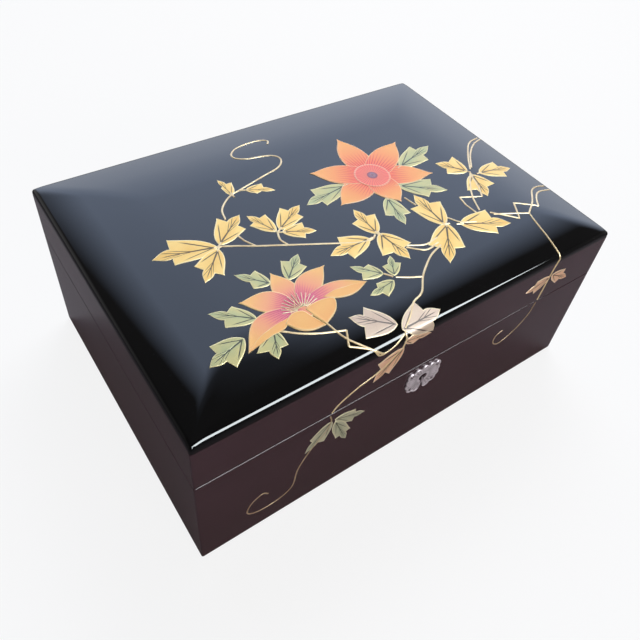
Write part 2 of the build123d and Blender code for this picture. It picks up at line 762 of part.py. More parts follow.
# Tray: four frame boards, a floor, velvet, dividers and ring rolls
tray_in = tray_side - tray_wall
tray_pivots_yz = (rear_tray_pivot, front_tray_pivot)
with BuildPart() as tray_frame:
    bar(-tray_side, tray_side, tray_front, tray_front + tray_wall, tray_base, tray_top)
    bar(-tray_side, tray_side, tray_back - tray_wall, tray_back, tray_base, tray_top)
    for side in (-1, 1):
        low, high = sorted((side * tray_in, side * tray_side))
        bar(low, high, tray_front + tray_wall + board_fit, tray_back - tray_wall - board_fit,
            tray_base, tray_top)
        for pivot in tray_pivots_yz:
            rod_x(low, high, *pivot, pivot_radius + hole_fit, Mode.SUBTRACT)
tray_frame.part.label = "tray_frame"
export_step(tray_frame.part, "parts/tray_frame.step")

tray_y0 = tray_front + tray_wall
tray_y1 = tray_back - tray_wall
with BuildPart() as tray_floor:
    bar(-tray_in + board_fit, tray_in - board_fit, tray_y0 + board_fit, tray_y1 - board_fit,
        tray_base, tray_inside)
tray_floor.part.label = "tray_floor"
export_step(tray_floor.part, "parts/tray_floor.step")

with BuildPart() as tray_lining:
    bar(-tray_in + board_fit, tray_in - board_fit, tray_y0 + board_fit, tray_y1 - board_fit,
        tray_inside, tray_inside + tray_lining_height)
tray_lining.part.label = "tray_lining"
export_step(tray_lining.part, "parts/tray_lining.step")

# Dividers: one beside the ring rolls, one along the right-hand side and one across between them
roll_edge = -tray_in + roll_bay_length
small_edge = tray_in - small_bay_length
bay_floor = tray_inside + tray_lining_height
divider_top = tray_top - divider_drop
with BuildPart() as tray_dividers:
    bar(roll_edge, roll_edge + divider_thickness, tray_y0 + board_fit, tray_y1 - board_fit,
        bay_floor, divider_top)
    bar(small_edge - divider_thickness, small_edge, tray_y0 + board_fit, tray_y1 - board_fit,
        bay_floor, divider_top)
    bar(roll_edge + divider_thickness + board_fit, small_edge - divider_thickness - board_fit,
        tray_y0 + middle_bay_depth, tray_y0 + middle_bay_depth + divider_thickness,
        bay_floor, divider_top)
tray_dividers.part.label = "tray_dividers"
export_step(tray_dividers.part, "parts/tray_dividers.step")

# Ring rolls: soft bars with a flat base, drawn-in sides and a crowned top, rings go in the slits
roll_pitch = (tray_y1 - tray_y0 - roll_slit) / roll_count
roll_half = (roll_pitch - roll_slit) / 2
roll_shoulder = roll_height - roll_crown
with BuildPart() as ring_rolls:
    for place in range(roll_count):
        roll_y = tray_y0 + roll_slit / 2 + (place + 0.5) * roll_pitch
        with BuildSketch(Plane.YZ.offset(-tray_in + roll_end_gap)):
            with BuildLine():
                foot = roll_half - roll_slit
                Line((roll_y - foot, bay_floor), (roll_y + foot, bay_floor))
                ThreePointArc((roll_y + foot, bay_floor),
                              (roll_y + roll_half, bay_floor + roll_shoulder / 2),
                              (roll_y + foot, bay_floor + roll_shoulder))
                ThreePointArc((roll_y + foot, bay_floor + roll_shoulder),
                              (roll_y, bay_floor + roll_height),
                              (roll_y - foot, bay_floor + roll_shoulder))
                ThreePointArc((roll_y - foot, bay_floor + roll_shoulder),
                              (roll_y - roll_half, bay_floor + roll_shoulder / 2),
                              (roll_y - foot, bay_floor))
            make_face()
        extrude(amount=roll_bay_length - 2 * roll_end_gap)
    roll_ends = ring_rolls.edges().group_by(Axis.X)
    fillet(roll_ends[0] + roll_ends[-1], roll_end_round)
ring_rolls.part.label = "ring_rolls"
export_step(ring_rolls.part, "parts/ring_rolls.step")

# Shouldered pins on the tray's sides, one for each arm
with BuildPart() as tray_pivots:
    for side in (-1, 1):
        for pivot in tray_pivots_yz:
            low, high = sorted((side * tray_side, side * (arm_in - pin_fit)))
            rod_x(low, high, *pivot, pivot_head_radius)
            low, high = sorted((side * tray_in, side * arm_out))
            rod_x(low, high, *pivot, pivot_radius)
tray_pivots.part.label = "tray_pivots"
export_step(tray_pivots.part, "parts/tray_pivots.step")


def strap(side, inner, outer, start, end, width, holes):
    """A flat bar with round ends between two pivots, bored where holes says."""
    low, high = sorted((side * inner, side * outer))
    run = (end[0] - start[0], end[1] - start[1])
    with BuildSketch(Plane.YZ.offset(low)) as outline:
        with Locations(Location(((start[0] + end[0]) / 2, (start[1] + end[1]) / 2, 0),
                                (0, 0, degrees(atan2(run[1], run[0]))))):
            SlotCenterToCenter(hypot(*run), width)
        with Locations(*holes):
            Circle(pivot_radius + pin_fit, mode=Mode.SUBTRACT)
    extrude(outline.sketch, amount=high - low)


# Rear arms, each with the rivet that drives its link
with BuildPart() as rear_arms:
    for side in (-1, 1):
        strap(side, arm_in, arm_out, rear_pivot, rear_tray_pivot, arm_width,
              (rear_pivot, rear_tray_pivot))
        low, high = sorted((side * (link_in - side_gap), side * arm_in))
        rod_x(low, high, *link_arm_pivot, pivot_radius)
        low, high = sorted((side * (link_in - side_gap - rivet_head), side * (link_in - side_gap)))
        rod_x(low, high, *link_arm_pivot, rivet_head_radius)
rear_arms.part.label = "rear_arms"
export_step(rear_arms.part, "parts/rear_arms.step")

with BuildPart() as front_arms:
    for side in (-1, 1):
        strap(side, arm_in, arm_out, front_pivot, front_tray_pivot, arm_width,
              (front_pivot, front_tray_pivot))
front_arms.part.label = "front_arms"
export_step(front_arms.part, "parts/front_arms.step")

with BuildPart() as lid_links:
    for side in (-1, 1):
        strap(side, link_in, link_out, link_arm_pivot, link_lid_pivot, link_width,
              (link_arm_pivot, link_lid_pivot))
lid_links.part.label = "lid_links"
export_step(lid_links.part, "parts/lid_links.step")

# Shouldered screws that carry the arms on the case walls
with BuildPart() as arm_screws:
    for side in (-1, 1):
        for pivot in (rear_pivot, front_pivot):
            low, high = sorted((side * (arm_in - pin_fit), side * (in_length + pivot_depth)))
            rod_x(low, high, *pivot, pivot_radius)
            low, high = sorted((side * (arm_in - pin_fit - pivot_head), side * (arm_in - pin_fit)))
            rod_x(low, high, *pivot, pivot_head_radius)
arm_screws.part.label = "arm_screws"
export_step(arm_screws.part, "parts/arm_screws.step")

# Brackets in the lid, each with the rivet its link hangs on
with BuildPart() as lid_brackets:
    pivot_y, pivot_z = link_lid_pivot
    with BuildSketch(Plane.YZ.offset(arm_in)):
        with Locations((pivot_y, pivot_z + bracket_height / 2)):
            Rectangle(bracket_width, bracket_height)
        with Locations((pivot_y, pivot_z)):
            Circle(bracket_width / 2)
    extrude(amount=arm_thickness)
    top_corners = lid_brackets.edges().filter_by(Axis.X).group_by(Axis.Z)[-1]
    fillet(top_corners, bracket_width / 4)
    for y, z in bracket_screws:
        side_screw(y, z, arm_in, hole_fit, Mode.SUBTRACT)
    rod_x(link_in - side_gap, arm_in, pivot_y, pivot_z, pivot_radius)
    rod_x(link_in - side_gap - rivet_head, link_in - side_gap, pivot_y, pivot_z, rivet_head_radius)
    mirror(about=Plane.YZ)
lid_brackets.part.label = "lid_brackets"
export_step(lid_brackets.part, "parts/lid_brackets.step")

with BuildPart() as bracket_screws_set:
    for y, z in bracket_screws:
        side_screw(y, z, arm_in)
    mirror(about=Plane.YZ)
bracket_screws_set.part.label = "bracket_screws"
export_step(bracket_screws_set.part, "parts/bracket_screws.step")

# Movement bedplate, bored for the arbor, its mounting screws and the comb's screws
comb_left = (drum_left + drum_right - comb_teeth * comb_pitch) / 2
comb_right = comb_left + comb_teeth * comb_pitch
comb_tip_y = axis_y + drum_radius + pin_height + comb_gap
comb_root_y = comb_tip_y + comb_tooth_length
comb_heel_y = comb_root_y + comb_heel
comb_bottom = axis_z - comb_thickness / 2
comb_screw_places = [(comb_left + share * (comb_right - comb_left), comb_heel_y - comb_heel / 2)
                     for share in comb_screw_shares]
with BuildPart() as movement_bed:
    bar(movement_x - bed_length / 2, movement_x + bed_length / 2, movement_y - bed_depth / 2,
        movement_y + bed_depth / 2, floor_height, bed_top)
    fillet(movement_bed.edges().filter_by(Axis.Z), bed_thickness)
    rod_z(barrel_x, axis_y, floor_height, bed_top, arbor_radius + run_fit, Mode.SUBTRACT)
    for x, y in bed_screws:
        rod_z(x, y, floor_height, bed_top, bed_screw_radius + hole_fit, Mode.SUBTRACT)
movement_bed.part.label = "movement_bed"
export_step(movement_bed.part, "parts/movement_bed.step")

with BuildPart() as movement_screws:
    for x, y in bed_screws:
        rod_z(x, y, panel_height, bed_top, bed_screw_radius)
        rod_z(x, y, panel_height - bed_screw_head, panel_height, bed_screw_head_radius)
movement_screws.part.label = "movement_screws"
export_step(movement_screws.part, "parts/movement_screws.step")

# Spring barrel with upright teeth round its rim, and the spring inside it
with BuildPart() as spring_barrel:
    rod_z(barrel_x, axis_y, barrel_bottom, barrel_top, barrel_radius)
    rod_z(barrel_x, axis_y, barrel_bottom + barrel_wall, barrel_top - barrel_wall,
          barrel_radius - barrel_wall, Mode.SUBTRACT)
    rod_z(barrel_x, axis_y, barrel_bottom, barrel_top, barrel_hub_radius)
    rod_z(barrel_x, axis_y, barrel_bottom, barrel_top, arbor_radius + run_fit, Mode.SUBTRACT)
    with BuildSketch(Plane.XY.offset(barrel_top)):
        with Locations((barrel_x, axis_y)):
            with PolarLocations(barrel_radius - contrate_face / 2, contrate_teeth,
                                start_angle=180 / contrate_teeth):
                Rectangle(contrate_face, contrate_tooth_width)
    extrude(amount=contrate_tooth_height)
spring_barrel.part.label = "spring_barrel"
export_step(spring_barrel.part, "parts/spring_barrel.step")

with BuildPart() as mainspring:
    with BuildSketch(Plane.XY.offset(barrel_bottom + barrel_wall + board_fit)):
        with Locations((barrel_x, axis_y)):
            Circle(barrel_radius - barrel_wall - board_fit)
            Circle(barrel_hub_radius + side_gap, mode=Mode.SUBTRACT)
    extrude(amount=barrel_height - 2 * barrel_wall - 2 * board_fit)
mainspring.part.label = "mainspring"
export_step(mainspring.part, "parts/mainspring.step")

# Winding arbor and the wing key below the bottom panel
key_top = panel_height - key_gap
key_bottom = key_top - key_hub_height
with BuildPart() as winding_arbor:
    rod_z(barrel_x, axis_y, key_top - arbor_drop, barrel_top + contrate_tooth_height, arbor_radius)
    chamfer(winding_arbor.faces().sort_by(Axis.Z)[-1].edges(), arbor_radius / 4)
winding_arbor.part.label = "winding_arbor"
export_step(winding_arbor.part, "parts/winding_arbor.step")

with BuildPart() as winding_key:
    rod_z(barrel_x, axis_y, key_bottom, key_top, key_hub_radius)
    wing_middle = key_top - key_wing_height / 2 - key_gap
    with BuildSketch(Plane.XZ.offset(-axis_y - key_wing_thickness / 2)):
        with Locations((barrel_x, wing_middle)):
            SlotOverall(key_wing_span, key_wing_height)
        with GridLocations(key_wing_span - key_wing_height, 0, 2, 1):
            with Locations((barrel_x, wing_middle)):
                Circle(key_eye_radius, mode=Mode.SUBTRACT)
    extrude(amount=key_wing_thickness)
    rod_z(barrel_x, axis_y, key_top - arbor_drop, key_top, arbor_radius, Mode.SUBTRACT)
winding_key.part.label = "winding_key"
export_step(winding_key.part, "parts/winding_key.step")

# Pinned cylinder, a tube on its arbor
with BuildPart() as music_cylinder:
    rod_x(drum_left, drum_right, axis_y, axis_z, drum_radius)
    rod_x(drum_left, drum_right, axis_y, axis_z, cylinder_arbor_radius, Mode.SUBTRACT)
    for row in range(comb_teeth):
        pin_x = comb_left + (row + 0.5) * comb_pitch
        for count in range(pins_per_row):
            turn = radians(row * pin_row_turn + count * 360 / pins_per_row)
            outward = (0, cos(turn), sin(turn))
            foot = drum_radius - pin_height
            with BuildSketch(Plane((pin_x, axis_y + foot * outward[1], axis_z + foot * outward[2]),
                                   z_dir=outward)):
                Circle(pin_radius)
    extrude(amount=2 * pin_height)
music_cylinder.part.label = "music_cylinder"
export_step(music_cylinder.part, "parts/music_cylinder.step")

# Cylinder arbor with the pinion that the barrel drives and the great wheel
with BuildPart() as cylinder_arbor:
    rod_x(pinion_x - pinion_width / 2 - part_gap, bearing_x + bearing_thickness + part_gap,
          axis_y, axis_z, cylinder_arbor_radius)
    toothed_wheel(pinion_x - pinion_width / 2, pinion_x + pinion_width / 2, axis_y, axis_z,
                  pinion_teeth, pinion_module, -90)
    toothed_wheel(great_x, great_x + great_width, axis_y, axis_z, great_teeth, wheel_module,
                  180 - wheel_direction)
cylinder_arbor.part.label = "cylinder_arbor"
export_step(cylinder_arbor.part, "parts/cylinder_arbor.step")

# Intermediate arbor: a pinion in mesh with the great wheel, and the wheel that turns the worm
with BuildPart() as governor_wheel:
    rod_x(post_x - part_gap, bearing_x + bearing_thickness, wheel_y, wheel_z, wheel_arbor_radius)
    toothed_wheel(great_x - part_gap, great_x + great_width + part_gap, wheel_y, wheel_z,
                  wheel_pinion_teeth, wheel_module, -wheel_direction + 180 / wheel_pinion_teeth)
    toothed_wheel(wheel_x, wheel_x + wheel_width, wheel_y, wheel_z, wheel_teeth, wheel_module, 0)
governor_wheel.part.label = "governor_wheel"
export_step(governor_wheel.part, "parts/governor_wheel.step")

# Two bearing plates stand on the bedplate; the right-hand one carries both arbors
with BuildPart() as bearing_plates:
    bar(left_bearing_x, left_bearing_x + bearing_thickness, axis_y - bearing_width / 2,
        axis_y + bearing_width / 2, bed_top, axis_z + bearing_rise)
    bar(bearing_x, bearing_x + bearing_thickness, axis_y - bearing_width / 2,
        axis_y + bearing_width / 2, bed_top, axis_z + bearing_rise)
    bar(bearing_x, bearing_x + bearing_thickness, wheel_y - bearing_rise, axis_y,
        bed_top, wheel_z + bearing_rise)
    for x in (left_bearing_x, bearing_x):
        rod_x(x, x + bearing_thickness, axis_y, axis_z, cylinder_arbor_radius + run_fit, Mode.SUBTRACT)
    rod_x(bearing_x, bearing_x + bearing_thickness, wheel_y, wheel_z,
          wheel_arbor_radius + run_fit, Mode.SUBTRACT)
bearing_plates.part.label = "bearing_plates"
export_step(bearing_plates.part, "parts/bearing_plates.step")

# Governor frame: a post with two flanges that hold the worm's arbor
with BuildPart() as governor_frame:
    bar(post_x, post_x + bearing_thickness, worm_y - bearing_rise, wheel_y + post_reach,
        bed_top, wheel_z + post_reach)
    bar(post_x, post_x + bearing_thickness, worm_y - bearing_rise, worm_y + bearing_rise,
        bed_top, upper_flange + governor_flange)
    for z in (lower_flange, upper_flange):
        bar(post_x, fan_x + bearing_rise / 2, worm_y - bearing_rise, worm_y + bearing_rise,
            z, z + governor_flange)
        rod_z(fan_x, worm_y, z, z + governor_flange, worm_arbor_radius + run_fit, Mode.SUBTRACT)
    rod_x(post_x, post_x + bearing_thickness, wheel_y, wheel_z,
          wheel_arbor_radius + run_fit, Mode.SUBTRACT)
governor_frame.part.label = "governor_frame"
export_step(governor_frame.part, "parts/governor_frame.step")

# Worm and fan on the governor's upright arbor
with BuildPart() as governor_fan:
    rod_z(fan_x, worm_y, lower_flange - part_gap, fan_bottom + fan_height, worm_arbor_radius)
    rod_z(fan_x, worm_y, wheel_z - worm_height / 2, wheel_z + worm_height / 2, worm_radius)
    bar(fan_x - fan_width / 2, fan_x + fan_width / 2, worm_y - fan_thickness / 2,
        worm_y + fan_thickness / 2, fan_bottom, fan_bottom + fan_height)
governor_fan.part.label = "governor_fan"
export_step(governor_fan.part, "parts/governor_fan.step")

# Steel comb on its riser, teeth towards the cylinder
with BuildPart() as comb_riser:
    bar(comb_left, comb_right, comb_root_y, comb_heel_y, bed_top, comb_bottom)
    for x, y in comb_screw_places:
        rod_z(x, y, bed_top, comb_bottom, comb_screw_radius + hole_fit, Mode.SUBTRACT)
comb_riser.part.label = "comb_riser"
export_step(comb_riser.part, "parts/comb_riser.step")

with BuildPart() as comb:
    bar(comb_left, comb_right, comb_tip_y, comb_heel_y, comb_bottom, comb_bottom + comb_thickness)
    with BuildSketch(Plane.XY.offset(comb_bottom)):
        with Locations(((comb_left + comb_right) / 2, (comb_tip_y + comb_root_y) / 2)):
            with GridLocations(comb_pitch, 0, comb_teeth - 1, 1):
                Rectangle(comb_slot, comb_tooth_length)
        with Locations(*comb_screw_places):
            Circle(comb_screw_radius + hole_fit)
    extrude(amount=comb_thickness, mode=Mode.SUBTRACT)
comb.part.label = "comb"
export_step(comb.part, "parts/comb.step")

with BuildPart() as comb_screws:
    for x, y in comb_screw_places:
        rod_z(x, y, bed_top, comb_bottom + comb_thickness, comb_screw_radius)
        rod_z(x, y, comb_bottom + comb_thickness, comb_bottom + comb_thickness + comb_screw_head,
              comb_screw_head_radius)
comb_screws.part.label = "comb_screws"
export_step(comb_screws.part, "parts/comb_screws.step")

# Stop plunger: pressed down by the closed lid, its wire stands beside the fan
with BuildPart() as stop_plunger:
    rod_z(plunger_x, plunger_y, plunger_bottom, case_rim, plunger_radius)
    rod_y(plunger_x, stop_wire_height, plunger_y, worm_y - fan_width / 2 - stop_gap, stop_wire_radius)
stop_plunger.part.label = "stop_plunger"
export_step(stop_plunger.part, "parts/stop_plunger.step")

# Pivots and axes that the joints use
print("hinge", hinge_y, seam_height, "rear", rear_pivot, "front", front_pivot)
print("tray", rear_tray_pivot, front_tray_pivot, "links", link_arm_pivot, link_lid_pivot)
print("cylinder", axis_y, axis_z, "wheel", wheel_y, wheel_z, "fan", fan_x, worm_y, barrel_x)
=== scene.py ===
import math

import bpy
import bmesh
from mathutils import Matrix, Vector


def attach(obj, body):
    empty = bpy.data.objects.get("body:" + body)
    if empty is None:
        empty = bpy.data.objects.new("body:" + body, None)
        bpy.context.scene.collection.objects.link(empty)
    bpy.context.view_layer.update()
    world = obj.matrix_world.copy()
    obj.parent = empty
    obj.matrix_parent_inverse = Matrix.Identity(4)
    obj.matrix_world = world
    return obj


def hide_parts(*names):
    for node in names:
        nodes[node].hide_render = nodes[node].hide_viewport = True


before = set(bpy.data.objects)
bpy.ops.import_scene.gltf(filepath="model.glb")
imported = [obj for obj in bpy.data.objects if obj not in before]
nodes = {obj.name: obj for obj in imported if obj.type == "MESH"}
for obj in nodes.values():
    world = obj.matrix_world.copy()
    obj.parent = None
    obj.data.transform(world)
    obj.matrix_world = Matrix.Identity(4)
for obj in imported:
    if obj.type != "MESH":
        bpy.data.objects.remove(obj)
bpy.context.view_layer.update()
mm = 0.001
print("frame loaded,", len(nodes), "nodes")


# Node helpers

class Wire:
    # a node's output that can be used in plain arithmetic

    def __init__(self, socket):
        self.socket = socket

    def step(self, operation, other=None, turned=False, clamp=False):
        node = put(self.socket.id_data, "ShaderNodeMath", {"operation": operation, "use_clamp": clamp})
        for place, value in enumerate((other, self) if turned else (self, other)):
            if value is not None:
                plug(node.inputs[place], value)
        return Wire(node.outputs[0])

    def __add__(self, other):
        return self.step("ADD", other)

    def __sub__(self, other):
        return self.step("SUBTRACT", other)

    def __rsub__(self, other):
        return self.step("SUBTRACT", other, turned=True)

    def __mul__(self, other):
        return self.step("MULTIPLY", other)

    def __truediv__(self, other):
        return self.step("DIVIDE", other)

    def __abs__(self):
        return self.step("ABSOLUTE")

    def ramp(self, *stops):
        # each stop is a place and a grey level or a colour
        node = put(self.socket.id_data, "ShaderNodeValToRGB", Fac=self)
        elements = node.color_ramp.elements
        while len(elements) < len(stops):
            elements.new(0.5)
        for element, (place, value) in zip(elements, stops):
            element.position = place
            element.color = (*(value if isinstance(value, tuple) else (value,) * 3), 1)
        return Wire(node.outputs[0])

    def mix(self, first, second):
        return mixColor(self.socket.id_data, self, first, second)


def plug(socket, value):
    # links a wire or a node's first output, and sets any other value on the socket
    if isinstance(value, Wire):
        socket.id_data.links.new(value.socket, socket)
    elif isinstance(value, bpy.types.Node):
        socket.id_data.links.new(value.outputs[0], socket)
    else:
        opaque = socket.type == "RGBA" and len(value) == 3
        socket.default_value = (*value, 1) if opaque else value


def send(node, **inputs):
    # underscores in the names stand for spaces in the sockets
    for label, value in inputs.items():
        plug(node.inputs[label.replace("_", " ")], value)
    return node


def put(tree, kind, settings=None, **inputs):
    node = tree.nodes.new(kind)
    for key, value in (settings or {}).items():
        setattr(node, key, value)
    return send(node, **inputs)


def wire(node, output=0):
    return Wire(node.outputs[output])


def wires(node):
    return {socket.name: Wire(socket) for socket in node.outputs if socket.name}


def mixColor(tree, factor, first, second, blend="MIX"):
    node = put(tree, "ShaderNodeMix", {"data_type": "RGBA", "blend_type": blend})
    for place, value in ((0, factor), (6, first), (7, second)):
        plug(node.inputs[place], value)
    return Wire(node.outputs[2])


def objectPlace(tree):
    return wire(put(tree, "ShaderNodeTexCoord"), "Object")


def noise(tree, scale, detail, place=None, **more):
    place = place or objectPlace(tree)
    return wire(put(tree, "ShaderNodeTexNoise", Vector=place, Scale=scale, Detail=detail, **more), "Fac")


def attribute(tree, name):
    return wire(put(tree, "ShaderNodeAttribute", {"attribute_name": name}), "Fac")


def splitXYZ(tree, vector):
    return [Wire(socket) for socket in put(tree, "ShaderNodeSeparateXYZ", Vector=vector).outputs]


def bump(height, strength, distance):
    return put(height.socket.id_data, "ShaderNodeBump", Height=height, Strength=strength, Distance=distance)


def newMaterial(name):
    material = bpy.data.materials.new(name)
    material.use_nodes = True
    return material, material.node_tree, material.node_tree.nodes["Principled BSDF"]


def newGroup(name, inputs, outputs):
    # an input is a number, a vector of three or a colour of four; an output is a number unless it is Color
    group = bpy.data.node_groups.new(name, "ShaderNodeTree")
    for label, value in inputs.items():
        kind = {3: "Vector", 4: "Color"}[len(value)] if isinstance(value, tuple) else "Float"
        socket = group.interface.new_socket(label, in_out="INPUT", socket_type="NodeSocket" + kind)
        socket.default_value = value
    for label in outputs:
        kind = "Color" if label == "Color" else "Float"
        group.interface.new_socket(label, in_out="OUTPUT", socket_type="NodeSocket" + kind)
    return group, wires(group.nodes.new("NodeGroupInput")), group.nodes.new("NodeGroupOutput")


def useGroup(tree, group, **inputs):
    return wires(put(tree, "ShaderNodeGroup", {"node_tree": group}, **inputs))


# Shared effects

def buildHandling():
    # a soft cloud of handling marks, plus fine dust specks
    group, source, sink = newGroup("handlingMarks", {"Cloud Scale": 40.0, "Speck Scale": 900.0},
                                   ("Cloud", "Specks"))
    cloud = noise(group, source["Cloud Scale"], 4.0, Roughness=0.6)
    specks = put(group, "ShaderNodeTexVoronoi", Vector=objectPlace(group), Scale=source["Speck Scale"])
    send(sink, Cloud=cloud.ramp((0.35, 0.0), (0.7, 1.0)),
         Specks=wire(specks, "Distance").ramp((0.05, 1.0), (0.16, 0.0)))
    return group


def buildPile():
    # short pile: fine fibres over slow patches where the nap lies another way
    group, source, sink = newGroup("velvetPile", {
        "Fibre Scale": 2600.0, "Nap Scale": 55.0, "Light Nap": (0.4, 0.02, 0.04, 1),
        "Dark Nap": (0.2, 0.01, 0.02, 1)}, ("Color", "Height"))
    nap = noise(group, source["Nap Scale"], 3.0, Roughness=0.55, Distortion=0.6)
    fibre = noise(group, source["Fibre Scale"], 2.0, Roughness=0.7)
    share = nap * 0.65 + fibre * 0.35
    send(sink, Color=share.ramp((0.36, 0.0), (0.64, 1.0)).mix(source["Dark Nap"], source["Light Nap"]),
         Height=share)
    return group


def buildBrushing():
    # drawn or brushed lines along one axis, with slow stains
    group, source, sink = newGroup("brushedLines", {
        "Stretch": (900.0, 30.0, 900.0), "Base": (0.8, 0.6, 0.3, 1), "Tarnish": (0.4, 0.28, 0.12, 1)},
        ("Color", "Roughness", "Height"))
    stretch = put(group, "ShaderNodeVectorMath", {"operation": "MULTIPLY"})
    plug(stretch.inputs[0], objectPlace(group))
    plug(stretch.inputs[1], source["Stretch"])
    lines = noise(group, 1.0, 3.0, stretch)
    dirt = noise(group, 90.0, 5.0, Roughness=0.65).ramp((0.48, 0.0), (0.78, 0.75))
    send(sink, Color=dirt.mix(source["Base"], source["Tarnish"]), Height=lines,
         Roughness=lines * 0.18 + dirt * 0.3 + 0.12)
    return group


handlingMarks = buildHandling()
velvetPile = buildPile()
brushedLines = buildBrushing()


# Finishes

def makeLacquer(name, color, deep):
    finish = {"gloss": 0.035, "ior": 1.5, "waviness": 0.00004}
    material, tree, shader = newMaterial(name)
    marks = useGroup(tree, handlingMarks, Cloud_Scale=26.0, Speck_Scale=520.0)
    send(shader, IOR=finish["ior"], Base_Color=marks["Cloud"].mix(deep, color),
         Roughness=marks["Cloud"] * 0.02 + finish["gloss"] + marks["Specks"] * 0.12,
         Normal=bump(noise(tree, 34.0, 1.0), 1.0, finish["waviness"]))
    return material


def makeVelvet(name, light, dark, fibre=2600.0, nap=55.0, sheen=0.55):
    material, tree, shader = newMaterial(name)
    pile = useGroup(tree, velvetPile, Fibre_Scale=fibre, Nap_Scale=nap, Light_Nap=light, Dark_Nap=dark)
    tint = (min(1.0, light[0] * 2.4), light[1] * 2.4 + 0.06, light[2] * 2.4 + 0.06)
    send(shader, Roughness=0.92, Sheen_Weight=sheen, Sheen_Roughness=0.35, Sheen_Tint=tint,
         Specular_IOR_Level=0.15, Base_Color=pile["Color"], Normal=bump(pile["Height"], 0.6, 0.0004))
    return material


def makeMetal(name, base, tarnish, stretch=(900.0, 30.0, 900.0), depth=0.00002):
    material, tree, shader = newMaterial(name)
    lines = useGroup(tree, brushedLines, Stretch=stretch, Base=base, Tarnish=tarnish)
    send(shader, Metallic=1.0, Base_Color=lines["Color"], Roughness=lines["Roughness"],
         Normal=bump(lines["Height"], 0.5, depth))
    return material


def makeGrain(name, pale, dark, rough=0.55):
    material, tree, shader = newMaterial(name)
    along = put(tree, "ShaderNodeMapping", Vector=objectPlace(tree), Scale=(14.0, 160.0, 160.0))
    rings = noise(tree, 1.0, 6.0, along, Roughness=0.62, Distortion=0.9)
    marks = useGroup(tree, handlingMarks, Cloud_Scale=60.0, Speck_Scale=700.0)
    send(shader, Base_Color=rings.ramp((0.3, dark), (0.7, pale)),
         Roughness=marks["Cloud"] * 0.2 + (rough - 0.1), Normal=bump(rings, 0.4, 0.0002))
    return material


blackLacquer = makeLacquer("mirrorLacquer", (0.0018, 0.0014, 0.0016), (0.0008, 0.0007, 0.0009))
# painted reflection: the walls get a lighter, browner copy of the black lacquer, standing in for a brown floor mirrored
# in them
wallLacquerPaintedReflection = makeLacquer("wallLacquerPaintedReflection", (0.05, 0.026, 0.031), (0.044, 0.022, 0.026))
redVelvet = makeVelvet("redVelvet", (0.33, 0.012, 0.028), (0.215, 0.0075, 0.018))
blackFelt = makeVelvet("blackFelt", (0.045, 0.045, 0.048), (0.018, 0.018, 0.02), 3800.0, 260.0, 0.2)
brass = makeMetal("polishedBrass", (0.86, 0.62, 0.27), (0.38, 0.24, 0.09))
steel = makeMetal("drawnSteel", (0.66, 0.66, 0.68), (0.3, 0.28, 0.27))
blueSteel = makeMetal("bluedSteel", (0.13, 0.18, 0.36), (0.1, 0.09, 0.14))
castZinc = makeMetal("castZinc", (0.42, 0.41, 0.4), (0.2, 0.19, 0.18), (500.0, 500.0, 500.0), 0.00012)
stainedPanel = makeGrain("stainedPanel", (0.055, 0.03, 0.02), (0.022, 0.012, 0.009))
print("finishes made")


# Mesh helpers

def meshObject(name, verts, faces=(), material=None, uvs=None, smooth=True, edges=()):
    mesh = bpy.data.meshes.new(name)
    mesh.from_pydata(verts, edges, faces)
    mesh.update()
    if uvs:
        layer = mesh.uv_layers.new(name="UVMap")
        for loop in mesh.loops:
            layer.data[loop.index].uv = uvs[loop.vertex_index]
    if smooth:
        mesh.shade_smooth()
    if material:
        mesh.materials.append(material)
    thing = bpy.data.objects.new(name, mesh)
    bpy.context.collection.objects.link(thing)
    return thing


def setAttribute(thing, name, values, kind="FLOAT"):
    layer = thing.data.attributes.new(name, kind, "POINT")
    layer.data.foreach_set("value" if kind == "FLOAT" else "vector", values)


def circle(count):
    return [(math.cos(n * math.tau / count), math.sin(n * math.tau / count)) for n in range(count)]


def ringFaces(rings, count, first=0, wrap=False):
    # quads between rings of points; wrap joins the last ring to the first
    faces = []
    for ring in range(rings if wrap else rings - 1):
        low, high = first + ring * count, first + (ring + 1) % rings * count
        faces += [(low + n, low + (n + 1) % count, high + (n + 1) % count, high + n) for n in range(count)]
    return faces


def fanFaces(ring, count, tip):
    return [(ring + n, ring + (n + 1) % count, tip) for n in range(count)]


def turned(profile, count, place=(0, 0, 0), axis="Z", scale=mm):
    # (radius, distance) pairs turned about the axis through place, with a cap at each end
    verts = []
    for radius, along in profile:
        for side, up in circle(count):
            spot = (radius * side, radius * up, along) if axis == "Z" else (along, radius * side, radius * up)
            verts.append(tuple((part + base) * scale for part, base in zip(spot, place)))
    last = len(verts) - count
    return verts, ringFaces(len(profile), count) + [tuple(reversed(range(count))), tuple(range(last, last + count))]


def editMesh(thing, edit):
    shape = bmesh.new()
    shape.from_mesh(thing.data)
    edit(shape)
    shape.to_mesh(thing.data)
    shape.free()


allSmooth = 4.0    # no edge bends by as much as this


def outward(thing, angle=0.7, turn=True, weld=0.0):
    # faces look out of their closed shells, and edges bent by more than the angle are hard
    def edit(shape):
        if weld:
            bmesh.ops.remove_doubles(shape, verts=shape.verts, dist=weld)
        if turn:
            bmesh.ops.recalc_face_normals(shape, faces=shape.faces)
        for edge in shape.edges:
            edge.smooth = len(edge.link_faces) != 2 or edge.calc_face_angle(0) <= angle
    editMesh(thing, edit)


def dress(material, *names):
    for name in names:
        thing = nodes[name]
        if not thing.material_slots:
            thing.data.materials.append(material)
        for place in thing.material_slots:
            place.material = material


def bake(thing):
    # turns live modifiers into a plain mesh
    depsgraph = bpy.context.evaluated_depsgraph_get()
    mesh = bpy.data.meshes.new_from_object(thing.evaluated_get(depsgraph))
    thing.modifiers.clear()
    thing.data = mesh


def soften(thing):
    softer = thing.modifiers.new("soften", "SUBSURF")
    softer.levels = softer.render_levels = 1
    bake(thing)


def riding(thing, body, *replaced, slot=None):
    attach(thing, body)
    if replaced:
        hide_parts(*replaced)


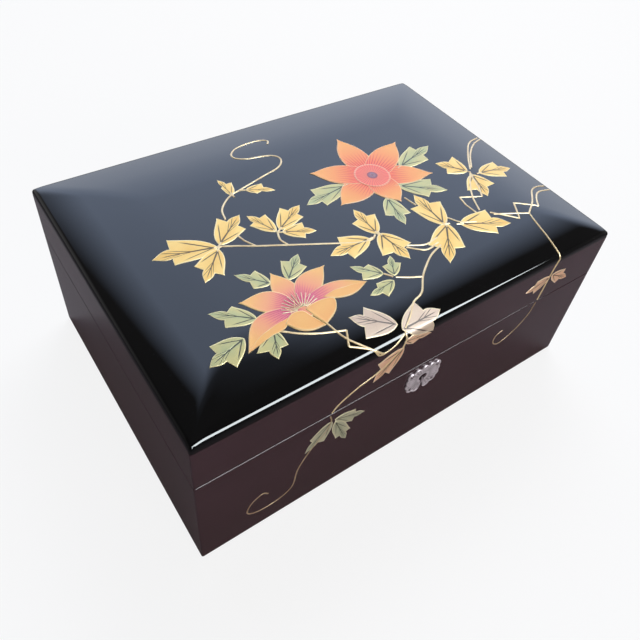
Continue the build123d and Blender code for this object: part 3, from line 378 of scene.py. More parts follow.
# Geometry trees

def newTree(name, **inputs):
    # named inputs, with the geometry before them and the material after them
    tree = bpy.data.node_groups.new(name, "GeometryNodeTree")
    for label, kind in {"Geometry": "Geometry", **inputs, "Material": "Material"}.items():
        tree.interface.new_socket(label.replace("_", " "), in_out="INPUT", socket_type="NodeSocket" + kind)
    tree.interface.new_socket("Geometry", in_out="OUTPUT", socket_type="NodeSocketGeometry")
    return tree, wires(tree.nodes.new("NodeGroupInput"))


def endTree(tree, source, geometry):
    real = put(tree, "GeometryNodeRealizeInstances", Geometry=geometry)
    painted = put(tree, "GeometryNodeSetMaterial", Geometry=real, Material=source["Material"])
    send(tree.nodes.new("NodeGroupOutput"), Geometry=painted)
    return tree


def endOnPoints(tree, source, points, shape, rotation):
    return endTree(tree, source, put(tree, "GeometryNodeInstanceOnPoints", Points=points, Instance=shape,
                                     Rotation=rotation))


def runTree(thing, tree, **values):
    # sets each input by its identifier, evaluates once and keeps a plain mesh
    modifier = thing.modifiers.new(tree.name, "NODES")
    modifier.node_group = tree
    sockets = {item.name: item.identifier for item in tree.interface.items_tree
               if getattr(item, "in_out", "") == "INPUT"}
    for label, value in values.items():
        modifier[sockets[label.replace("_", " ")]] = value
    bake(thing)
    thing.data.shade_smooth()


# Lid: a crowned top, rolled border and rounded rim in one skin

crownSizes = {"halfLength": 127.0, "halfDepth": 90.0, "underside": 98.0, "rim": 101.7, "rise": 7.5,
              "band": 47.0, "rimRound": 2.2, "cornerRound": 1.4, "blend": 5.0, "columns": 180, "rows": 130,
              "fine": (0.0, 0.04, 0.12, 0.24, 0.4, 0.6, 0.84, 1.12, 1.42, 1.76, 2.12, 2.5), "even": 3.0}
crownRadius = (crownSizes["band"] ** 2 + crownSizes["rise"] ** 2) / (2 * crownSizes["rise"])


def crownHeight(x, y):
    # the border's arc over the distance from the nearest edge, softened where two borders meet
    alongX = crownSizes["halfLength"] - abs(x)
    alongY = crownSizes["halfDepth"] - abs(y)
    soft, band = crownSizes["blend"], crownSizes["band"]
    gap = max(0.0, soft - abs(alongX - alongY)) / soft
    reach = min(max(min(alongX, alongY) - gap * gap * soft / 4, 0.0), band)
    return crownSizes["rim"] + crownSizes["rise"] - crownRadius + math.sqrt(crownRadius ** 2 - (band - reach) ** 2)


def topHeight(x, y):
    # the crown, less what the rounded rim takes off near the edge
    edge = max(min(crownSizes["halfLength"] - abs(x), crownSizes["halfDepth"] - abs(y)), 0.0)
    radius = crownSizes["rimRound"]
    drop = radius - math.sqrt(max(radius ** 2 - (radius - edge) ** 2, 0.0)) if edge < radius else 0.0
    return crownHeight(x, y) - drop


rimArc = {"start": crownSizes["rimRound"] - crownSizes["halfDepth"],
          "length": crownSizes["rimRound"] * math.pi / 2}


def lidPoint(x, t):
    # t is y on the top, and past the front rim it goes on down the wall
    radius, start = crownSizes["rimRound"], rimArc["start"]
    if t >= start:
        return Vector((x, t, topHeight(x, t)))
    if t > start - rimArc["length"]:
        turn = (start - t) / radius
        y = start - radius * math.sin(turn)
        return Vector((x, y, crownHeight(x, y) - radius * (1 - math.cos(turn))))
    return Vector((x, -crownSizes["halfDepth"], crownSizes["rim"] - radius - (start - t - rimArc["length"])))


def lidNormal(x, t):
    step = 0.15
    acrossX = lidPoint(x + step, t) - lidPoint(x - step, t)
    acrossT = lidPoint(x, t + step) - lidPoint(x, t - step)
    return acrossX.cross(acrossT).normalized()


def raisedPoint(x, t, rise):
    return (lidPoint(x, t) + lidNormal(x, t) * rise) * mm


def onWall(*spots):
    # places in lid coordinates that land on these heights of the front wall
    foot = crownSizes["rim"] - crownSizes["rimRound"]
    return [(x, rimArc["start"] - rimArc["length"] - (foot - height)) for x, height in spots]


def spacing(half, count):
    # finer near the ends, where the rim turns
    ends = [half - offset for offset in crownSizes["fine"]]
    even = half - crownSizes["even"]
    return ends + [even - n * 2 * even / count for n in range(count + 1)] + [-value for value in reversed(ends)]


def buildCrown():
    xs = spacing(crownSizes["halfLength"], crownSizes["columns"])
    ys = spacing(crownSizes["halfDepth"], crownSizes["rows"])
    corner = crownSizes["cornerRound"]
    cx, cy = crownSizes["halfLength"] - corner, crownSizes["halfDepth"] - corner
    verts = []
    for y in ys:
        for x in xs:
            px, py = x, y
            if abs(x) > cx and abs(y) > cy:
                away = Vector((abs(x) - cx, abs(y) - cy))
                away = away.normalized() * max(away.x, away.y)
                px, py = math.copysign(cx + away.x, x), math.copysign(cy + away.y, y)
            verts.append((px * mm, py * mm, topHeight(x, y) * mm))
    wide, deep = len(xs), len(ys)
    faces = [(a, a + wide, a + wide + 1, a + 1) for j in range(deep - 1)
             for a in range(j * wide, j * wide + wide - 1)]
    ring = ([*range(wide)] + [j * wide + wide - 1 for j in range(1, deep)]
            + [(deep - 1) * wide + i for i in range(wide - 2, -1, -1)] + [j * wide for j in range(deep - 2, 0, -1)])
    base, around = len(verts), len(ring)
    verts += [(verts[k][0], verts[k][1], crownSizes["underside"] * mm) for k in ring]
    for n in range(around):
        following = (n + 1) % around
        faces.append((ring[n], ring[following], base + following, base + n))
    faces.append([base + n for n in range(around)])
    crown = meshObject("lidCrown", verts, faces, blackLacquer)
    outward(crown)
    riding(crown, "lid", "lid_top_panel", slot="black_lacquer")


buildCrown()
# the case walls and lid rails take the lacquer with the painted brown reflection
dress(wallLacquerPaintedReflection, "front_board", "back_board", "left_board", "right_board", "lid_front_rail", "lid_back_rail",
      "lid_left_rail", "lid_right_rail")
print("lacquered shell done")


# Painted vine in low relief: leaves, petals, hearts and stems laid on the lacquer

def leafAxes(group):
    # U runs from the stalk to the tip, V across, here measured from the middle
    along, across, _ = splitXYZ(group, put(group, "ShaderNodeUVMap", {"uv_map": "UVMap"}))
    return along, across - 0.5


def buildLeafPaint():
    # midrib, veins to the side lobes and fine branches over powdered colour, with a rim along the outline
    group, source, sink = newGroup("leafPaint", {
        "Rim": (0.9, 0.8, 0.5, 1), "Body": (0.8, 0.6, 0.2, 1), "Shade": (0.6, 0.4, 0.12, 1),
        "Vein": (0.04, 0.03, 0.02, 1), "Vein Pitch": 0.155, "Vein Depth": 0.9}, ("Color", "Height", "Powder"))
    along, across = leafAxes(group)
    side = abs(across) * 2.0
    midrib = (side / (0.075 - along * 0.06)).ramp((0.65, 1.0), (1.4, 0.0))
    midrib = midrib * along.ramp((0.03, 0.0), (0.08, 1.0), (0.78, 1.0), (0.88, 0.0))
    lobe = abs(along - (side * 0.46 + 0.07)).ramp((0.015, 1.0), (0.032, 0.0)) * side.ramp((0.56, 1.0), (0.74, 0.0))
    lane = along - side
    branch = abs((lane / source["Vein Pitch"]).step("FRACT") - 0.5).ramp((0.09, 1.0), (0.18, 0.0))
    branch = branch * lane.ramp((0.3, 0.0), (0.32, 1.0), (0.6, 1.0), (0.62, 0.0)) * side.ramp((0.2, 1.0), (0.3, 0.0))
    vein = midrib.step("MAXIMUM", lobe).step("MAXIMUM", branch) * source["Vein Depth"]
    powder = noise(group, 2400.0, 2.0)
    cloud = noise(group, 120.0, 3.0)
    shade = (cloud * 0.9 + powder * 0.5 - side * 0.5).ramp((0.35, 0.0), (0.85, 1.0))
    rim = attribute(group, "rim").ramp((0.25, 0.0), (0.6, 1.0))
    body = rim.mix(shade.mix(source["Body"], source["Shade"]), source["Rim"])
    send(sink, Color=vein.mix(body, source["Vein"]), Height=powder * 0.3 - vein, Powder=powder)
    return group


def buildPetalPaint():
    # the colour runs from the heart out to the tip, over fine lines that fan out from the heart
    group, source, sink = newGroup("petalPaint", {
        "Heart": (0.8, 0.1, 0.1, 1), "Middle": (0.9, 0.3, 0.15, 1), "Tip": (0.9, 0.5, 0.2, 1),
        "Rim": (0.95, 0.75, 0.45, 1), "Line": (0.6, 0.05, 0.08, 1), "Line Reach": 0.6}, ("Color", "Height"))
    along, across = leafAxes(group)
    body = along.ramp((0.1, 0.0), (0.42, 1.0)).mix(source["Heart"], source["Middle"])
    body = along.ramp((0.35, 0.0), (0.8, 1.0)).mix(body, source["Tip"])
    fan = across / (along + 0.22)
    fade = source["Line Reach"].step("SUBTRACT", along, clamp=True) * 3.0
    lines = (fan * 176.0).step("SINE").ramp((0.35, 0.0), (0.85, 1.0)).step("MULTIPLY", fade, clamp=True)
    rim = attribute(group, "rim").ramp((0.3, 0.0), (0.7, 1.0))
    send(sink, Color=rim.mix(lines.mix(body, source["Line"]), source["Rim"]),
         Height=noise(group, 2200.0, 2.0) * 0.4 - lines)
    return group


leafPaint = buildLeafPaint()
petalPaint = buildPetalPaint()


def makeLeafPaint(name, rim, body, shade, vein, metal):
    material, tree, shader = newMaterial(name)
    paint = useGroup(tree, leafPaint, Rim=rim, Body=body, Shade=shade, Vein=vein)
    send(shader, Metallic=metal, Coat_Weight=0.1, Coat_Roughness=0.12, Base_Color=paint["Color"],
         Roughness=paint["Powder"] * 0.3 + 0.25, Normal=bump(paint["Height"], 0.7, 0.00012))
    return material


def makePetalPaint(name, heart, middle, tip, rim, line, reach):
    material, tree, shader = newMaterial(name)
    paint = useGroup(tree, petalPaint, Heart=heart, Middle=middle, Tip=tip, Rim=rim, Line=line, Line_Reach=reach)
    send(shader, Roughness=0.45, Coat_Weight=0.08, Coat_Roughness=0.12, Base_Color=paint["Color"],
         Normal=bump(paint["Height"], 0.6, 0.0001))
    return material


def makeLinePaint(name, color, dark, metal=0.35):
    material, tree, shader = newMaterial(name)
    marks = useGroup(tree, handlingMarks, Cloud_Scale=160.0, Speck_Scale=2600.0)
    send(shader, Metallic=metal, Coat_Weight=0.2, Coat_Roughness=0.15, Base_Color=marks["Cloud"].mix(color, dark),
         Roughness=marks["Specks"] * 0.3 + 0.3, Normal=bump(marks["Specks"], 0.4, 0.00005))
    return material


def paintBox(maker, **rows):
    return {name: maker(name, *row) for name, row in rows.items()}


# rim, body, shade, vein, share of metal
leafPaints = paintBox(
    makeLeafPaint,
    goldLeafPaint=((0.95, 0.76, 0.38), (0.9, 0.6, 0.17), (0.8, 0.48, 0.1), (0.012, 0.008, 0.004), 0.2),
    sageLeafPaint=((0.8, 0.7, 0.34), (0.56, 0.5, 0.2), (0.38, 0.42, 0.2), (0.012, 0.018, 0.012), 0.15),
    paleLeafPaint=((0.9, 0.76, 0.48), (0.64, 0.49, 0.36), (0.52, 0.38, 0.29), (0.04, 0.025, 0.016), 0.12),
    copperLeafPaint=((0.96, 0.72, 0.48), (0.94, 0.6, 0.38), (0.84, 0.47, 0.27), (0.03, 0.015, 0.008), 0.35),
    greyLeafPaint=((0.8, 0.74, 0.5), (0.58, 0.55, 0.36), (0.38, 0.4, 0.27), (0.05, 0.05, 0.03), 0.3))
# heart, middle, tip, rim, fine lines, and how far out the lines reach
petalPaints = paintBox(
    makePetalPaint,
    coralPetalPaint=((0.93, 0.11, 0.06), (0.94, 0.24, 0.07), (0.95, 0.4, 0.09), (0.97, 0.6, 0.3), (0.68, 0.02, 0.05),
                     0.6),
    pinkPetalPaint=((0.72, 0.09, 0.2), (0.9, 0.3, 0.18), (0.95, 0.5, 0.14), (0.97, 0.7, 0.32), (0.6, 0.04, 0.15), 0.5),
    foldPetalPaint=((0.93, 0.46, 0.12), (0.95, 0.5, 0.13), (0.95, 0.46, 0.12), (0.97, 0.7, 0.32), (0.8, 0.25, 0.08),
                    0.12))
linePaints = paintBox(
    makeLinePaint, goldLine=((0.88, 0.7, 0.4), (0.72, 0.52, 0.27), 0.2),
    dimGoldLine=((0.62, 0.46, 0.28), (0.4, 0.27, 0.15)), creamLine=((0.95, 0.85, 0.6), (0.9, 0.7, 0.42), 0.1))

relief = {"height": 0.1, "sunk": 0.06, "rimWidth": 0.55, "layer": 0.05, "shares": (0.7, 0.48, 0.26, 0.1),
          "rimBand": 4, "rimStep": 0.5, "rimShares": 40}


def bezier(a, b, c, d, count):
    steps = [n / count for n in range(count)]
    return [a * (1 - s) ** 3 + b * 3 * s * (1 - s) ** 2 + c * 3 * s * s * (1 - s) + d * s ** 3 for s in steps]


def straightRuns(points, step=1.5):
    points = [Vector(point) for point in points]
    out = []
    for start, end in zip(points, points[1:]):
        count = max(1, int((end - start).length / step))
        out += [start.lerp(end, n / count) for n in range(count)]
    return out + [points[-1]]


def catmull(points, count=7):
    # a smooth curve through the points
    points = [Vector(point) for point in points]
    padded = [points[0] * 2 - points[1]] + points + [points[-1] * 2 - points[-2]]
    out = []
    for n in range(1, len(padded) - 2):
        a, b, c, d = padded[n - 1:n + 3]
        for s in (step / count for step in range(count)):
            out.append(((b * 2) + (c - a) * s + (a * 2 - b * 5 + c * 4 - d) * s ** 2
                        + (b * 3 - a - c * 3 + d) * s ** 3) / 2)
    return out + [points[-1]]


def awayFrom(start, end, centre, share):
    # a point beside the middle of a run, on the side away from the centre
    middle, run = (start + end) / 2, end - start
    side = Vector((-run.y, run.x))
    return middle + (-side if side.dot(middle - centre) < 0 else side) * share


def leafOutline(base, tip, left, right):
    # three lobes: full at the foot, notched, each drawn out to a sharp tip
    base, tip, left, right = (Vector(point) for point in (base, tip, left, right))
    centre = base * 0.3 + tip * 0.32 + (left + right) * 0.19
    outline = []
    for side in (left, right):
        notch = side.lerp(tip, 0.33).lerp(centre, 0.45)
        runs = [(base, awayFrom(base, side, centre, 0.34).lerp(base, 0.3), side.lerp(base, 0.2), side, 12),
                (side, side.lerp(notch, 0.4), side.lerp(notch, 0.7).lerp(centre, -0.05), notch, 5),
                (notch, awayFrom(notch, tip, centre, 0.3).lerp(notch, 0.25), tip.lerp(notch, 0.24), tip, 11)]
        for a, b, c, d, count in runs if side is left else reversed(runs):
            outline += bezier(a, b, c, d, count) if side is left else bezier(d, c, b, a, count)
    return outline, centre


petalShape = {"fullest": 0.42, "roundness": 0.8, "taper": 1.5, "point": 9, "steps": 16, "centre": 0.45}


def petalOutline(root, tip, width, rootWidth, lean):
    root, tip = Vector(root), Vector(tip)
    axis = tip - root
    side = Vector((-axis.y, axis.x)).normalized()
    steps = petalShape["steps"]
    outline = []
    for sign in (1, -1):
        points = []
        for s in (n / steps for n in range(steps + 1)):
            swell = min(1.0, s ** (math.log(0.5) / math.log(petalShape["fullest"])))
            bell = math.sin(math.pi * swell) ** petalShape["roundness"]
            half = max(0.0, width * bell + rootWidth * (1 - s) ** petalShape["taper"] * (1 - bell))
            sway = lean * math.sin(math.pi * s) * axis.length
            points.append(root + axis * s + side * (sign * half * (1 - s ** petalShape["point"]) + sway))
        outline += points[:-1] if sign == 1 else points[:0:-1]
    return outline, root + axis * petalShape["centre"] + side * (lean * axis.length)


def reliefPatch(parts, outline, centre, root, tip, layer=0, lobes=()):
    # rings of points from the outline to the centre, laid on the lid and raised a little
    verts, faces, uvs, rims = parts
    edge = relief["rimBand"] - crownSizes["halfDepth"]
    overRim = min(point.y for point in outline) < edge < max(point.y for point in outline)
    if overRim:
        outline = straightRuns(outline + outline[:1], relief["rimStep"])[:-1]
    root = Vector(root)
    axis = Vector(tip) - root
    long = axis.length
    unit = axis / long

    def measure(spot):
        # the share of the way from root to tip, and how far off that line
        arm = spot - root
        return arm.dot(unit) / long, unit.x * arm.y - unit.y * arm.x

    chart = {True: (0.5, long), False: (0.5, long)}
    for lobe in lobes:
        share, over = measure(Vector(lobe))
        chart[over > 0] = (share, max(abs(over), 0.08 * long))

    def add(spot, rise, rim):
        # V is stretched so that the side lobes end at 0 and 1, and U so that they lie level
        share, over = measure(spot)
        lobeAt, reach = chart[over > 0]
        across = over / reach
        verts.append(raisedPoint(spot.x, spot.y, rise))
        uvs.append((share + (0.5 - lobeAt) * min(1.0, abs(across)) * (reach != long), 0.5 + across * 0.5))
        rims.append(rim)

    first, count = len(verts), len(outline)
    raised, rimWidth = relief["height"] + layer * relief["layer"], relief["rimWidth"]
    rings = ((0.0, -relief["sunk"], 1.0), (0.18, raised * 0.9, 1.0), (rimWidth, raised * 1.15, 0.5),
             (rimWidth * 1.7, raised, 0.0))
    fine = relief["rimShares"]
    shares = [1 - n / fine for n in range(4, fine)] if overRim else relief["shares"]
    for depth, rise, rim in rings:
        for point in outline:
            inward = centre - point
            add(point + inward.normalized() * min(depth, inward.length * 0.3), rise, rim)
    for share in shares:
        for point in outline:
            add(centre.lerp(point, share), raised, 0.0)
    add(centre, raised, 0.0)
    total = len(rings) + len(shares)
    faces += ringFaces(total, count, first)
    faces += fanFaces(first + (total - 1) * count, count, first + total * count)


def reliefPiece(name, patches, material, body="lid"):
    parts = ([], [], [], [])
    for patch in patches:
        reliefPatch(parts, *patch)
    verts, faces, uvs, rims = parts
    piece = meshObject(name, verts, faces, material, uvs)
    setAttribute(piece, "rim", rims)

    def faceOut(shape):
        for face in shape.faces:
            middle = face.calc_center_median() / mm
            onTop = middle.y > 0.4 - crownSizes["halfDepth"]
            if face.normal.dot(Vector((0, 0, 1)) if onTop else Vector((0, -1, 0))) < 0:
                face.normal_flip()
    editMesh(piece, faceOut)
    riding(piece, body)


# foot, tip and the tips of the two side lobes
leaves = {
    "gold": [
        ((-68, -4), (-98.5, 4), (-87, 12.5), (-91, -5)), ((-67, -3), (-47.5, 12), (-59, 15), (-50, 1)),
        ((-68.5, -5), (-84.5, -22), (-84, -10), (-74.5, -22)), ((-43, 27), (-44, 42.5), (-45.5, 35), (-38, 37)),
        ((-35, 28), (-21, 20.5), (-24.5, 29), (-31, 22.5)), ((-38, -8), (-45, 9.5), (-47.5, 2), (-36, 6)),
        ((-36, -7.5), (-16.5, 4), (-27, 7), (-20, -5)), ((-36, -9.5), (-20, -17), (-23, -8), (-28, -19)),
        ((0, -35), (-25, -35.5), (-14, -26), (-15.5, -43)), ((5.5, -34), (6, -12.5), (-1.5, -21.5), (14, -21)),
        ((6.5, -34), (9, -56), (-2.5, -48), (16.5, -47.5)), ((41, -46), (42.5, -18.5), (33, -27), (52, -30)),
        ((42.5, -45), (25.5, -67.5), (23, -53), (40, -63)), ((48.5, -49), (75, -61.5), (69, -47), (63, -64)),
        ((85, -17), (73, -2), (72.5, -13), (87, -1.5)), ((90, -21), (116, -23), (108.5, -14.5), (105, -30)),
        ((85, -20), (79, -39.5), (72, -30), (91.5, -32.5))],
    "sage": [
        ((15, 6), (-13.5, 2), (-4.5, 12), (-4, -3.5)), ((52, 5), (81.5, 13.5), (70.5, 18.5), (72, 2.5)),
        ((40, -8), (62.5, -24.5), (60.5, -12), (49, -24)), ((28, -13), (23, -35.5), (18, -24.5), (31.5, -29.5)),
        ((-59, -37), (-71, -24), (-67.5, -36), (-61, -26)), ((-51, -39), (-37.5, -26.5), (-47.5, -26.5), (-38.5, -36)),
        ((-75, -52), (-92, -38.5), (-89.5, -49.5), (-81, -40)),
        ((-85, -58), (-104.5, -63.5), (-99.5, -54), (-94.5, -69)),
        ((-72, -60), (-77.5, -73.5), (-84.5, -67), (-70, -69.5)), ((-9, -57.5), (-21, -46), (-20.5, -56), (-12, -49)),
        ((-5, -61), (1, -49.5), (-7, -53.5), (3, -56)), ((-7, -63), (-23, -65), (-16, -60.5), (-15, -69.5))],
    "pale": [((-20, -83), (-39, -70), (-38, -82.5), (-29.5, -68.5)),
             ((-20, -86), (4, -85.5), (-6, -76.5), *onWall((-3, 96.5)))],
    "copper": [((-21, -91.5), *onWall((-3.5, 95.5), (-15, 94.2)), (-6, -91.5)),
               onWall((-20, 95), (-35.5, 78.5), (-35, 92), (-26, 79)), onWall((84, 88), (66, 84.5), (73, 90), (74, 80)),
               onWall((85, 89), (102, 79), (97, 88), (92, 79))],
    "grey": [onWall((-57, 64), (-71, 47), (-69, 57), (-60, 49)), onWall((-55.5, 64), (-36.5, 56), (-43, 63), (-44, 53)),
             onWall((-55, 62), (-46, 39), (-53, 45), (-44, 47))]}
for kind, rows in leaves.items():
    patches = [(*leafOutline(*leaf), leaf[0], leaf[1], place % 3, leaf[2:]) for place, leaf in enumerate(rows)]
    reliefPiece(kind + "Leaves", patches, leafPaints[kind + "LeafPaint"], "case" if kind == "grey" else "lid")

coralFlower = {"centre": (33, 6), "tips": [(36, 44.5), (66, 26), (65.5, -8.5), (33, -20), (2, -7), (3, 24)],
               "width": 8.6, "rootWidth": 5.5, "heart": 10.6}
# root, tip, width, width at the root, lean, layer
petals = {
    "coral": [(coralFlower["centre"], tip, coralFlower["width"], coralFlower["rootWidth"], 0.0, 3 + n % 2)
              for n, tip in enumerate(coralFlower["tips"])],
    "pink": [((-55, -56), (-56, -30.8), 6.2, 3.5, 0.0, 3), ((-57, -56), (-78, -40.2), 6.6, 3.5, -0.1, 4),
             ((-53, -56), (-30.8, -39.2), 6.4, 3.5, 0.1, 4), ((-58, -56.5), (-87.5, -65.5), 5.2, 3.0, -0.16, 5),
             ((-52, -55.5), (-19, -57.5), 4.6, 3.0, 0.07, 5), ((-61, -59), (-46, -58.6), 3.4, 2.6, 0.0, 5)]}
for kind, rows in petals.items():
    patches = [(*petalOutline(*petal[:5]), petal[0], petal[1], petal[5]) for petal in rows]
    reliefPiece(kind + "Petals", patches, petalPaints[kind + "PetalPaint"])


def buildFolds():
    # the turned edges and the two cupped petals in front, each given by its two sides
    folds = [([(-87.5, -65.5), (-80, -61), (-72, -58.8), (-62, -57.8)],
              [(-62, -57.8), (-67, -62), (-75, -63), (-87.5, -65.5)]),
             ([(-43, -55.6), (-36, -54.6), (-28, -55.6), (-19.4, -57.6)],
              [(-19.4, -57.6), (-28, -60.6), (-36, -59.6), (-43, -55.6)]),
             ([(-66, -60), (-61, -56.8), (-55.5, -57.6), (-53.2, -62), (-50, -68.8)],
              [(-50, -68.8), (-57, -68.4), (-62.5, -65.4), (-66, -60)]),
             ([(-54, -57.6), (-48, -56.2), (-41, -57), (-38.6, -59.4), (-42, -64.6), (-49.6, -68.6)],
              [(-49.6, -68.6), (-52, -63.5), (-54, -57.6)])]
    patches = []
    for place, (first, second) in enumerate(folds):
        outline = catmull(first, 5)[:-1] + catmull(second, 5)[:-1]
        centre = sum(outline, Vector((0, 0))) / len(outline)
        patches.append((outline, centre, first[0], second[0], 6 + place))
    reliefPiece("foldedPetals", patches, petalPaints["foldPetalPaint"])


buildFolds()


def buildHeart():
    # a low disc whose U is the distance from the middle and V the angle, given by (share of the reach, rise)
    x0, y0 = coralFlower["centre"]
    reach, around, tip, fineSpokes = coralFlower["heart"], 72, 0.56, 36.0
    profile = ((1.0, 0.1), (0.97, 0.42), (0.9, 0.44), (0.7, 0.4), (0.45, 0.38), (0.3, 0.42), (0.24, 0.5), (0.12, 0.55))
    verts, uvs = [], []
    for share, rise in profile:
        for n, (side, up) in enumerate(circle(around)):
            verts.append(raisedPoint(x0 + reach * share * side, y0 + reach * share * up, rise))
            uvs.append((share, n / around))
    verts.append(raisedPoint(x0, y0, tip))
    uvs.append((0.0, 0.0))
    faces = ringFaces(len(profile), around)
    faces += fanFaces((len(profile) - 1) * around, around, len(profile) * around)
    material, tree, shader = newMaterial("flowerHeart")
    x, y, _ = splitXYZ(tree, put(tree, "ShaderNodeMapping", Vector=objectPlace(tree),
                                 Location=(-x0 * mm, -y0 * mm, 0)))
    away = (x * x + y * y).step("SQRT") / (reach * mm)
    spokes = (y.step("ARCTAN2", x) * fineSpokes).step("SINE").ramp((0.0, 0.0), (0.7, 1.0))
    spokes = spokes * away.ramp((0.3, 0.8), (0.9, 0.35))
    coral = away.ramp((0.0, (0.02, 0.04, 0.08)), (0.1, (0.2, 0.24, 0.29)), (0.2, (0.1, 0.15, 0.21)),
                      (0.26, (0.06, 0.05, 0.07)), (0.3, (0.94, 0.2, 0.08)), (0.86, (0.94, 0.15, 0.06)),
                      (0.9, (0.95, 0.36, 0.2)), (0.955, (0.96, 0.44, 0.24)), (1.0, (0.9, 0.14, 0.1)))
    send(shader, Roughness=0.4, Coat_Weight=0.25, Coat_Roughness=0.12, Base_Color=spokes.mix(coral, (0.6, 0.02, 0.04)),
         Normal=bump(spokes, 0.5, 0.0001))
    riding(meshObject("flowerHeart", verts, faces, material, uvs), "lid")


buildHeart()


# Stems: polylines on the lacquer, swept to a raised line by one geometry tree

def buildSweepTree():
    tree, source = newTree("sweepLine", Half_Width="Float", Sides="Int")
    line = put(tree, "GeometryNodeMeshToCurve", Mesh=source["Geometry"])
    profile = put(tree, "GeometryNodeCurvePrimitiveCircle", Radius=source["Half Width"], Resolution=source["Sides"])
    return endTree(tree, source, put(tree, "GeometryNodeCurveToMesh", Curve=line, Profile_Curve=profile,
                                     Fill_Caps=True))


sweepTree = buildSweepTree()


def lineSet(name, curves, halfWidth, sink, material, body="lid", sides=8):
    # each curve says whether it is straight between its points, and gives them
    verts, edges = [], []
    for straight, points in curves:
        track = straightRuns(points) if straight else catmull(points)
        edges += [(len(verts) + n, len(verts) + n + 1) for n in range(len(track) - 1)]
        verts += [raisedPoint(spot.x, spot.y, -sink) for spot in track]
    lines = meshObject(name, verts, edges=edges)
    runTree(lines, sweepTree, Half_Width=halfWidth * mm, Sides=sides, Material=material)
    riding(lines, body)


topStems = [
    (0, [(-55.5, 12), (-53, 20), (-45, 27), (-37, 29.5), (-20, 34), (-9, 37), (-4, 42), (-5, 47), (-11, 50), (-20, 52),
         (-25.5, 56), (-25, 61), (-19, 65.5), (-10, 67), (-3, 66), (0, 63), (-2, 60)]),
    (0, [(-42, 28), (-43, 29.5)]), (0, [(-38, 29.3), (-35, 28)]),
    (0, [(-67, -4), (-60, -7.5), (-52, -12), (-38, -19), (-20, -28), (-8, -34), (0, -36), (4, -34)]),
    (0, [(-52, -12), (-55, -6), (-56, -1)]), (0, [(-38, -19), (-39.5, -14), (-38, -9)]),
    (0, [(12, -49), (20, -55), (29, -54)]), (0, [(13, -48), (22, -52), (31, -51)]),
    (0, [(36.5, -18), (38, -26)]), (0, [(46, -42), (50, -48), (58, -52)]),
    (0, [(88, -16), (97, -5), (110, 7), (123, 12)]), (0, [(90, -15), (100, -4), (112, 5), (124, 10.5)]),
    (1, [(63, -46.5), (62.5, -39), (64, -32.5), (76, -38), (80, -31), (84, -21)]),
    (1, [(66, -46), (70, -37), (74, -31), (80, -24), (85, -19)]),
    (1, [(70, -50), (82, -61), (88, -50.5), (100, -58.5)]), (1, [(71, -52), (90, -60.5)]),
    (0, [(100, -58.5), (106, -52), (113, -48), (124, -47.5)]),
    (0, [(90, -60.5), (100, -54), (109, -46), (116, -43.5), (124, -43.5)]),
    (0, [(90, -60.5), (88.5, -68), (87.5, -78), (86, -89), *onWall((84.5, 97), (83.5, 90), (82.5, 80), (81.5, 71.4))]),
    (0, [(29, -56), (20, -59), (12, -64), (7, -68), (1, -74.5), (-6, -77), (-12, -82), (-18, -86)]),
    (0, [(-5, -62), (1, -65), (7, -67.5)]), (0, [(-9, -57.5), (-6, -61)]), (0, [(44, -46), (40, -45)]),
    (0, [(-70, -62), (-63, -67), (-55, -71), (-43.5, -75)]), (1, [(-43.5, -75), (-47, -82)]),
    (0, [(-47, -82), (-40, -86.5), (-33, -92)]),
    (0, [(-49.5, -68), (-46, -78), (-38, -88), (-35, -92), (-30, -92), (-20, -88)]),
    (0, onWall((-21, 95), (-29, 88), (-36, 84), (-45, 81), (-54, 76), (-58, 71.4))),
    (0, [(-19, -87), *onWall((-20, 99), (-21, 95))])]
caseStems = [
    (0, onWall((-58.5, 69.3), (-57.5, 64), (-60, 57), (-68, 47), (-74, 35), (-76, 22), (-80, 17), (-88, 14.5),
               (-97, 15.5), (-102, 20), (-100, 27), (-94, 31), (-90.5, 28))),
    (0, onWall((81.2, 69.3), (79, 60), (71, 51), (61, 46.5), (55, 50), (54.5, 56), (59, 58.5)))]


def stalks(rows, before=1.6, after=2.2):
    # a short stalk runs from beside each leaf's foot into the leaf
    runs = []
    for foot, tip, _, _ in rows:
        foot, tip = Vector(foot), Vector(tip)
        way = (tip - foot).normalized()
        runs.append((1, [foot - way * before, foot + way * after]))
    return runs


lineSet("vineStems", topStems + stalks(leaves["gold"] + leaves["sage"][:4]), 0.62, 0.28, linePaints["goldLine"])
lineSet("vineStemsBelow", caseStems, 0.5, 0.25, linePaints["dimGoldLine"], "case")


def buildStamens():
    fan = {"foot": (-55, -57), "count": 13, "spread": 150.0, "reach": 11.0, "halfWidth": 0.2, "rise": 0.42}
    curves = []
    for n in range(fan["count"]):
        turn = math.radians(90 + fan["spread"] * (n / (fan["count"] - 1) - 0.5))
        side, up = math.cos(turn), math.sin(turn)
        reach = fan["reach"] * (0.8 + 0.2 * up)
        foot = Vector(fan["foot"])
        curves.append((1, [foot + Vector((side * 2.5, up * 1.2)), foot + Vector((side * reach, up * reach * 0.85))]))
    lineSet("stamens", curves, fan["halfWidth"], -fan["rise"], linePaints["creamLine"])


buildStamens()
print("painted vine done")


# Escutcheon: a scalloped plate in relief round its keyhole

